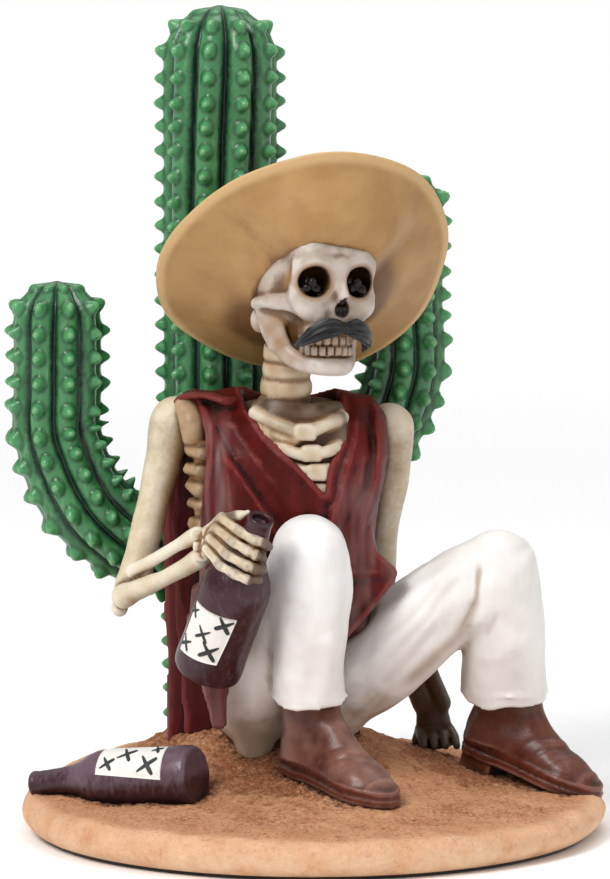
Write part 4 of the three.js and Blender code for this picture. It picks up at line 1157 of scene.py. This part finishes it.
def make_vest():
    c = Clay((-31, -17, 12), (24, 21, 93), 0.52)
    x, y, z = c.axes()
    levels = np.array(VEST_LEVELS)
    cx, cy, rx, ry = (np.interp(z, levels[:, 0], levels[:, k]) for k in range(1, 5))
    u, v = (x - cx) / rx, (y - cy) / ry
    a = np.arctan2(u, -v)
    drop = np.clip((87 - z) / 34, 0, 1)
    folds = 1 + drop * (0.045 * np.cos(7 * a + z * 0.06) + 0.03 * np.cos(4 * a - z * 0.05))
    folds = folds + 0.03 * drop * np.cos(13 * a + z * 0.05) * (v > 0.2)
    far = np.sqrt(u * u + v * v) / ((1 + 0.1 * np.sin(2 * a) ** 2) * folds)
    body = (far - 1) * np.minimum(rx, ry) * 0.92
    body = np.maximum(body, (z - 89.4) * 0.9)
    front = smooth(cy - y, -1, 2)

    def outlined(points):
        """Distance from an outline seen from the front."""
        return outline_distance(x[:, 0], z[:, 0], points)[:, None, :]

    neck = outlined(NECKLINE)
    rolled = 0.3 * hill(neck - 0.6, 0.7) - 0.2 * hill(neck - 1.9, 0.6)
    c.merge(body - rolled * front)
    c.creases(FOLDS, 1.5)
    c.merge(np.maximum(outlined(ARMHOLE), y - 5.0), 0.5, True)
    c.merge(np.maximum(neck, y - 1.0), 0.6, True)
    c.merge(most(outlined(LAP), y + 2 - 11 * smooth(42 - z, 0, 12), -30 - y), 0.8, True)
    c.tube([(-4.6, 0, 72), (-4.7, 1, 84), (-4.9, 3.4, 98)], [9.4, 9.6, 10.2], blend=0.6, cut=True, ends="ff")
    c.tube([(-27.6, 6.5, 86.4), (-25.4, 3.5, 87.8), (-21.5, 0.2, 88.2), (-16.4, -3, 87.2)],
           [(2.6, 0.6), (3.4, 0.7), (3.8, 0.8), (3.8, 1.0)], (0, 1, 0), blend=1.4)

    def back(angle, along):
        return 0.9 * np.cos(7 * angle + 3 * along) * smooth(along, 0, 0.4) + 0.3 * np.cos(15 * angle)

    # Back of the poncho, hanging to the ground
    c.tube([(-7.4, 8.5, 83), (-8.6, 10.5, 66), (-9, 12, 46), (-10.6, 13, 28), (-11.6, 13, 15)],
           [(20, 3.4), (21, 3.6), (20.4, 4), (18.4, 4.6), (17.8, 5)], fold=back, blend=0.6)
    # Flap over the left thigh, and the tail beside the right thigh
    middle = -7.4 + 0.012 * (x - 2) ** 2 + 0.05 * (z - 52)
    c.merge(np.maximum(outlined(FLAP), np.abs(y - middle) - 1.9), 1.0)
    c.creases([
        ([(3, 53.2), (9, 53.6), (15.6, 53.4)], 0.6, 0.8), ([(3, 50.6), (9, 51.4), (15, 51.8)], -0.45, 0.7),
        ([(16.6, 52.4), (11.8, 46.6), (7.0, 41)], 0.45, 0.7),
        ([(14.4, 51), (10.4, 46.6), (6.6, 43)], -0.3, 0.8), ([(9, 50), (6.6, 46), (5, 43)], 0.35, 0.9),
    ], -3.0)
    c.tube([(-21, -6, 44), (-20.0, -8.2, 34), (-18.8, -8.6, 22.6)], [(4.6, 2.4), (3.1, 1.8), (1.5, 1.0)],
           blend=0.5, fold=lambda angle, along: 0.3 * np.cos(5 * angle + 2 * along))
    c.roughen((0.1, 2.4, 51), (0.05, 1.1, 52))

    def dust_and_sheen(p):
        """Greyish pink on the panel by the right arm, and less on the other side, partly dry-brushed dust and
        partly painted sheen.
        """
        x, y, z = p.T
        ahead = smooth(2 - y, -2, 2)
        panel = smooth(-15.5 - x, -1, 3) * smooth(88 - z, 0, 12) * ahead
        left = 0.6 * smooth(x - 4, -1, 3) * smooth(76 - z, -4, 10) * ahead
        brush = 0.5 + 0.5 * noise(x * 2.2, y, z * 0.35, 2.2, 53)
        return np.maximum(panel * 0.85, left) * smooth(brush, 0.1, 0.9)

    clay_piece("poncho_vest", c, OXBLOOD, times=4, tint=dust_and_sheen)


# Trousers


def make_trousers():
    c = Clay((-24, -29, 8), (50, 23, 70), 0.55)
    c.tube([(-5, 8.4, 26), (3, 8.0, 25.4)], [(8.4, 9.4), (9.0, 9.4)], (0, 1, 0))
    c.tube([(-11.8, 0, 31), (-11.9, 2, 23), (-11.9, 4, 13)], [(5.8, 6), (4.6, 5), (3.7, 4.6)], blend=1.2)
    c.tube([(1, 7, 30), (1.6, 10, 24), (1, 12, 16)], [(8.6, 6), (7.6, 6), (6.6, 6)], blend=1.5)

    def gathers(count, size, twist):
        def fold(angle, along):
            bend = size * np.cos(count * angle + twist * along)
            bend = bend + 0.4 * size * np.cos((2 * count + 1) * angle - 5 * along)
            return bend * smooth(along, 0, 0.3)
        return fold

    c.tube([(-12, 6, 24.6), (-10.2, 0, 31), (-7, -6.6, 40.6), (-3.4, -12.6, 49.4), (-0.8, -17.6, 57.6)],
           [(8.2, 9.2), (8.6, 9.2), (8.2, 8.8), (7.8, 8.2), (7.4, 7.6)], fold=gathers(3, 0.22, 5), blend=1)
    c.tube([(-0.6, -17.4, 59), (-0.1, -17.2, 52), (-0.4, -16, 44), (-0.9, -14, 35.6), (-0.8, -12.5, 28.6)],
           [(7, 7.4), (8, 8), (7.7, 7.7), (7.3, 7.5), (7.3, 7.7)], ends="rf", fold=gathers(4, 0.18, 4),
           blend=1.2)
    c.tube([(5, 8, 27), (12, 5.8, 32.8), (20, 3.8, 40.2), (29, 2.2, 47.8), (37, 1.6, 53)],
           [(9.6, 8.6), (10, 9.4), (9.8, 9.3), (9.2, 8.6), (8, 7.6)], (0, 1, 0), fold=gathers(4, 0.4, 4),
           blend=1)
    c.tube([(37.6, 1.2, 52.6), (38.4, 2.4, 47), (38.8, 4.6, 39), (39.0, 7.0, 33), (39.2, 9.2, 26.4)],
           [(6.8, 7.0), (7.9, 8.0), (8.6, 8.5), (8.8, 8.4), (9.0, 8.5)], ends="rf", fold=gathers(4, 0.22, 4),
           blend=3.2)
    c.creases([
        ([(33.8, 56), (33.3, 52), (32.5, 47), (30.6, 42), (28, 38)], -0.5, 1.2),
        ([(36, 52), (35.2, 46), (33.4, 40.5)], 0.4, 1.3),
        ([(28, 57), (25.5, 55.2), (17.5, 47.1), (11.9, 39), (9, 32)], -0.3, 1.0),
        ([(31, 56), (23.5, 49.2), (16.5, 39), (12.5, 30.9)], -0.28, 1.1),
        ([(29.6, 50), (24, 44), (18, 35), (15, 29)], 0.3, 1.3),
        ([(22, 52), (15, 44), (10, 36)], 0.3, 1.2),
        ([(31, 44), (27, 40), (21, 33)], -0.2, 1.0),
        ([(34, 34), (39, 36), (45, 41)], 0.2, 1.4),
    ], 1.0)
    c.creases([
        ([(-7.4, 51), (-4, 48.4), (0, 47.6)], -0.15, 1.0),
        ([(6.8, 47), (4, 43.6), (0, 42)], -0.15, 1.0),
        ([(-7.4, 37), (-3, 34), (2, 33.4)], -0.12, 1.1),
        ([(-5.4, 44), (-5.8, 36), (-5.2, 30)], 0.25, 1.2),
        ([(3.4, 44), (3.8, 36), (3.4, 30)], 0.25, 1.2),
    ], -13)
    # Hems stand out a little from the boots
    for centre, r in (((-0.8, -12.5, 28.9), 7.3), ((39.2, 9.2, 26.7), 8.7)):
        ring = [(centre[0] + r * math.cos(a), centre[1] + r * math.sin(a), centre[2] + 0.2 * math.sin(2 * a))
                for a in np.linspace(0, 2 * math.pi, 17)]
        c.tube(ring, [(0.35, 0.45)] * 17, (0, 0, 1), blend=0.4, per=3)
    c.roughen((0.14, 3.4, 61), (0.05, 1.3, 62))

    def wash_and_shade(p):
        """Brown in the creases of the left leg, partly wash and partly painted shade, painted shade where the
        trousers meet the sand and the hip, and a little painted shade over the left leg.
        """
        x, y, z = p.T
        lines = drawn(p, [
            ([(33.2, 55.2), (33.1, 51), (32.8, 48), (30.9, 43.9), (28.6, 39)], 0.75, 0.6),
            ([(29.9, 53), (25.8, 48.4), (22.4, 43.4), (15.6, 36)], 0.3, 1.1),
            ([(26.4, 52), (20, 44.4), (14.6, 39.6)], 0.18, 0.9),
            ([(25.4, 44), (20.4, 37), (14, 29.6)], 0.25, 1.3),
            ([(31, 52), (27.6, 44.6), (24.4, 39)], 0.15, 1.0),
            ([(32, 44.5), (29, 39.8), (24, 35), (18, 29)], 0.6, 1.5),
            ([(16, 28), (12.4, 24.2), (9, 20)], 0.6, 2.4), ([(32.8, 48), (31.4, 43.6), (30.6, 41)], 0.6, 1.3),
            ([(41, 56), (43.4, 48), (44, 38)], 0.12, 2.0),
        ]) * smooth(3 - y, -1, 2)
        under = noise(x, y, z, 3.0, 63) + 0.6 * noise(x, y, z, 1.2, 64)
        low = 0.8 * smooth(28 - z + 3 * under, -4, 9) * (x < 22) * smooth(y + 7, -3, 3)
        hip = 0.35 * smooth(-12.5 - x + under, -2, 3) * smooth(46 - z, -4, 8)
        return np.clip(most(lines, low, hip, 0.12 * smooth(x - 18, 0, 8)), 0, 0.8)

    clay_piece("trousers", c, WHITE, times=3, tint=wash_and_shade)


# Boots, each in its own frame: the sole is at height 0 and the toe points along +X


def make_boot(name, heel, yaw, pitch, top, sheen_and_wear):
    """top is how far forward the shaft ends, and the last argument how strong the painted sheen and the rubbed
    paint are.
    """
    c = Clay((-3, -9.5, -6), (35, 9.5, 18), 0.33)
    side = [(0, 0), (0.5, 2.8), (2.2, 4.2), (6, 4.8), (11, 4.6), (16, 4.9), (21, 5.7), (25, 5.6), (28.4, 4.4),
            (31, 2.6), (32, 0)]
    half = curve([(a, 0, b) for a, b in side], 4)[:, [0, 2]]
    outline = [tuple(p) for p in half] + [(a, -b) for a, b in half[-2:0:-1]]
    x, y, z = c.axes()
    edge = outline_distance(x[:, :, 0], y[:, :, 0], outline)[:, :, None]
    c.merge(np.maximum(edge, np.abs(z - 1.7) - 0.9))
    c.tube([(3.8, 0, 4.6), (10.5, 0, 5.2), (17, 0, 4.4), (23.4, 0, 3.4), (28.0, 0, 2.8)],
           [(4.4, 4.8), (4.9, 5.8), (5.0, 4.5), (5.3, 3.2), (3.8, 2.0)], (0, 1, 0), blend=1.6)
    c.tube([(6.9, 0, 3.4), (6.4, 0, 8), (top + 0.4, 0, 13), (top, 0, 16.5)],
           [(7.0, 5.4), (6.7, 5.6), (6.2, 5.8), (5.2, 5.0)], ends="ff", blend=1.6)
    c.tube([(top + 4.6, 0, 13), (13.6, 0, 9.4), (19, 0, 5.6)], [2.4, 3.0, 2.2], blend=2.5)
    # Soft wrinkles across the instep, and the seams at the sides
    for x0, lean, depth in ((19.6, 0.10, 0.17), (16.6, 0.12, 0.13), (21.6, 0.05, -0.12)):
        across = x - x0 + lean * (y - 1) ** 2 - 0.35 * z
        c.push(-depth * hill(across, 0.7) * smooth(z, 3.0, 5.0) * smooth(12 - z, 0, 3))
    for s in (-1, 1):
        c.tube([(9.4, s * 6.1, 2.4), (10.2, s * 5.9, 7), (8.8, s * 6.1, 12)], [0.2, 0.22, 0.2], blend=0.3,
               cut=True)
    sole = np.maximum(edge - 0.2, np.abs(z - 0.1) - 0.75)
    block = most(edge + 0.2, x - 8.6, np.abs(z + 2.0) - 1.7)
    welt = np.maximum(edge - 0.32, np.abs(z - 0.95) - 0.2)
    for shape in (sole, block, welt):
        c.merge(shape, 0.2)
    c.roughen((0.07, 2.0, 71))
    turn = turn_matrix(0, pitch, yaw)

    def sheen_and_rub(p):
        """Greyish painted sheen in spots, partly where hands have rubbed the paint."""
        x, y, z = p.T
        spots = 0.6 + 0.6 * noise(x, y, z, 5, 72) + 0.3 * noise(x, y, z, 1.5, 73)
        return sheen_and_wear * np.clip(spots, 0, 1) * smooth(z, 2, 4)

    clay_piece(name, c, BROWN, place=lambda p: p @ turn.T + heel, tint=sheen_and_rub)


# Bottles with painted labels


def make_bottle(name, radius, foot, mouth, shine, corners, crosses):
    """Label corners and crosses are given by their height from the foot and their degrees from the front."""
    foot = np.array(foot, float)
    axis = unit(mouth - foot)
    ahead = unit(np.array((0, -1, 0)) + axis * axis[1])
    right = np.cross(axis, ahead)
    h, r = curve([
        (0.5, 0.3), (0.35, radius - 2.2), (0, radius - 0.9), (0.35, radius - 0.25), (1.2, radius),
        (8, radius), (15.6, radius), (19.4, radius), (21.2, radius * 0.97), (23.2, radius * 0.86),
        (25.2, radius * 0.7), (27.4, radius * 0.56), (30, 3.1), (33, 2.8), (35.4, 2.6), (36.4, 2.65),
        (36.8, 2.45), (36.6, 1.85), (35.4, 1.6), (35, 0.2),
    ], 6).T[:, :, None]
    a = around(90)
    dent = 1 + 0.012 * np.sin(2 * a + h * 0.2) + 0.008 * noise(np.cos(a) * 9, np.sin(a) * 9, h, 3, 81)

    def place(r, h, a):
        out = np.cos(a)[..., None] * ahead + np.sin(a)[..., None] * right
        return foot + r[..., None] * out + h[..., None] * axis

    # Darker by the neck, and a paler painted highlight on the upper side the higher the shine
    neck = smooth(h, 24, 30) * 0.2 - shine * smooth(np.cos(a) * ahead[2] + np.sin(a) * right[2], -0.5, 0.6)
    ends = foot + 0.5 * axis, foot + 35 * axis
    marks = {"fine": (-0.1, (0.3, 0.3)), "wide": (neck - 0.25, (0.5, 0.5))}
    round_piece(name, place(r * dent, h, a), ends, GLASSY, foot, **marks)

    def patch(label, grid, low, high, material):
        """Thin shell over a grid of heights and angles on the bottle's side."""
        n, m = grid.shape[:2]
        shells = [place(np.full((n, m), radius + t), grid[..., 0], grid[..., 1]).reshape(-1, 3)
                  for t in (low, high)]
        i, j = np.meshgrid(np.arange(n - 1), np.arange(m - 1), indexing="ij")
        q = (i * m + j).ravel()
        top = np.stack([q, q + 1, q + m + 1, q + m], 1)
        faces = [top + n * m, top[:, ::-1]]
        ring = np.concatenate([np.arange(m), np.arange(1, n) * m + m - 1,
                               (n - 1) * m + np.arange(m - 2, -1, -1), np.arange(n - 2, 0, -1) * m])
        beyond = np.roll(ring, -1)
        faces.append(np.stack([beyond, ring, ring + n * m, beyond + n * m], 1))
        points = np.vstack(shells)
        piece(label, points, turned([np.vstack(faces)], points - points.mean(0)), material)

    u, v = np.meshgrid(np.linspace(0, 1, 26), np.linspace(0, 1, 20), indexing="ij")
    u = np.clip(u + 0.012 * np.sin(7 * u + 3) * np.abs(2 * v - 1), 0, 1)
    shares = ((1 - u) * (1 - v), u * (1 - v), u * v, (1 - u) * v)
    grid = sum(share[..., None] * (np.array(p) * (1, math.pi / 180)) for share, p in zip(shares, corners))
    patch(f"{name}_label", grid, -0.25, 0.16, LABEL)
    for k, (h0, a0, size, tilt, thick) in enumerate(crosses):
        for m, lean in enumerate((tilt - 0.78, tilt + 0.78)):
            s, w = np.meshgrid(np.linspace(-1, 1, 14), np.linspace(-1, 1, 5), indexing="ij")
            width = thick * (0.45 + 0.6 * np.sqrt(np.clip(1 - s * s, 0, 1))) * (1 - 0.3 * s)
            dx = s * size * math.sin(lean) + w * width * math.cos(lean)
            dh = s * size * math.cos(lean) - w * width * math.sin(lean)
            grid = np.stack([h0 + dh, math.radians(a0) + dx / radius], -1)
            patch(f"{name}_stroke_{k}_{m}", grid, 0.05, 0.25 + 0.02 * m, STROKE)


# Everything in place

make_base()
make_pad()
make_cactus()
make_hat()
make_skull()
make_moustache()
make_chest()
make_arms()
make_hand()
make_vest()
make_trousers()
make_boot("right_boot", (-4.6, -4.4, 13.7), math.radians(-51), 0.13, 4.6, 0.32)
make_boot("left_boot", (31.8, 15.6, 14.6), math.radians(-31.5), 0.28, 6.6, 0.08)
make_bottle("held_bottle", 6.9, (-21.1, -17.6, 35), (-10.0, -32.2, 67.3), -0.08,
            [(16.2, -66), (17.0, 18), (5.9, 11), (4.5, -66)],
            [(14.3, -60, 1.5, 0.1, 0.26), (15.0, 1, 2.1, 0.1, 0.4), (11.2, -28, 1.95, 0.04, 0.28),
             (7.0, -55, 1.8, 0.1, 0.3), (8.2, -9, 2.4, 0.0, 0.38)])
make_bottle("fallen_bottle", 6.3, (-23, -19.4, 13.9), (-59.4, -3, 9.4), 0.34,
            [(19.4, 90), (5.0, 82), (4.9, 7), (19.6, 22)],
            [(13.3, 62, 2.2, 0.3, 0.34), (8.2, 36, 2.5, 0.2, 0.4), (17.2, 42, 1.8, 0.2, 0.34),
             (6.9, 72, 1.3, 0.4, 0.3)])


def mark_near():
    """Marks how closely other surfaces crowd each point, for the dirt and painted shade in the corners between
    pieces.
    """
    step = 0.8
    low = np.array(cad_box[0]) / MM - 3
    size = np.ceil((np.array(cad_box[1]) / MM + 3 - low) / step).astype(int) + 1
    filled = np.zeros(size, np.float32)
    for _, points, faces in pieces:
        placed = ((points - low) / step).astype(np.float32)
        tris = [f for f in faces if f.shape[1] == 3]
        quads = [f for f in faces if f.shape[1] == 4]
        tris = np.vstack(tris).astype(np.uint32) if tris else np.zeros((0, 3), np.uint32)
        quads = np.vstack(quads).astype(np.uint32) if quads else np.zeros((0, 4), np.uint32)
        grid = vdb.FloatGrid.createLevelSetFromPolygons(placed, triangles=tris, quads=quads, halfWidth=3.0)
        i = np.clip(np.floor(placed.min(0)).astype(int) - 1, 0, size - 1)
        j = np.clip(np.ceil(placed.max(0)).astype(int) + 2, 1, size)
        dense = np.zeros(j - i, np.float32)
        grid.copyToArray(dense, ijk=tuple(int(v) for v in i))
        part = tuple(slice(a, b) for a, b in zip(i, j))
        filled[part] = np.maximum(filled[part], np.clip(0.5 - dense, 0, 1))
    crowd = blur(filled, 2)
    for obj, points, _ in pieces:
        mark(obj, "near", sample(crowd, (points - low) / step) * 2 - 1)


mark_near()

# Floor, light and camera


def make_floor():
    r = 60.0  # metres, so that its edge is out of sight
    mesh = bpy.data.meshes.new("floor")
    mesh.from_pydata([(-r, -r, 0), (r, -r, 0), (r, r, 0), (-r, r, 0)], [], [(0, 1, 2, 3)])
    # Pale cloth that fades into a white wall from 0.2 m outwards
    p = Paint("pale_floor")
    far = add(p.tree, "VectorMath", {0: p.mm}, "Value", operation="LENGTH")
    inputs = {"Value": far, "From Min": 200.0, "From Max": 1100.0}
    far = add(p.tree, "MapRange", inputs, interpolation_type="SMOOTHSTEP")
    mesh.materials.append(p.finish(p.coat(colour("#f6f6f6"), "#000000", strength=far), 0.9, specular=0.0))
    shader = p.tree.nodes["Principled BSDF"]
    shader.inputs["Emission Color"].default_value = colour("#ffffff")
    p.tree.links.new(far, shader.inputs["Emission Strength"])
    stand("floor", mesh)


def make_world():
    """Brightness by height: pale at the horizon, dimmer round the sides, a soft sky above."""
    world = bpy.data.worlds.new("studio")
    bpy.context.scene.world = world
    world.use_nodes = True
    tree = world.node_tree
    height = add(tree, "SeparateXYZ", {0: add(tree, "TexCoord", out="Generated")}, "Z")
    bright = add(tree, "ValToRGB", {0: height})
    elements = bright.node.color_ramp.elements
    for at in (0.06, 0.16, 0.6):
        elements.new(at)
    for element, value in zip(elements, (1.0, 1.0, 0.42, 0.45, 1.1)):
        element.color = (value, value, value, 1)
    tree.links.new(bright, tree.nodes["Background"].inputs["Color"])


def make_light(name, place, size, power):
    """Square light that looks at the middle of the figurine, 0.08 m up."""
    light = bpy.data.lights.new(name, "AREA")
    light.shape = "SQUARE"
    light.size = size
    light.energy = power
    x, y, z = np.array(place) - (0, 0, 0.08)
    stand(name, light, place, (math.atan2(math.hypot(x, y), z), 0, math.atan2(x, -y)))


def make_camera():
    tilt, distance = math.radians(5.5), 900
    target = np.array([-1.6, 0, 79.2])
    place = target + distance * np.array([0, -math.cos(tilt), math.sin(tilt)])
    camera = bpy.data.cameras.new("camera")
    camera.sensor_fit = "VERTICAL"
    camera.sensor_height = 36
    camera.lens = 183
    camera.clip_start, camera.clip_end = 0.05, 400
    bpy.context.scene.camera = stand("camera", camera, place * MM, (math.pi / 2 - tilt, 0, 0))


make_floor()
make_world()
make_light("key", (-0.55, -0.7, 0.85), 0.4, 9.2)
make_light("fill", (0.8, -0.6, 0.35), 0.7, 1.3)
make_light("top", (0.1, 0.3, 0.95), 0.6, 2.5)
make_camera()
bpy.context.scene.view_settings.view_transform = "Standard"
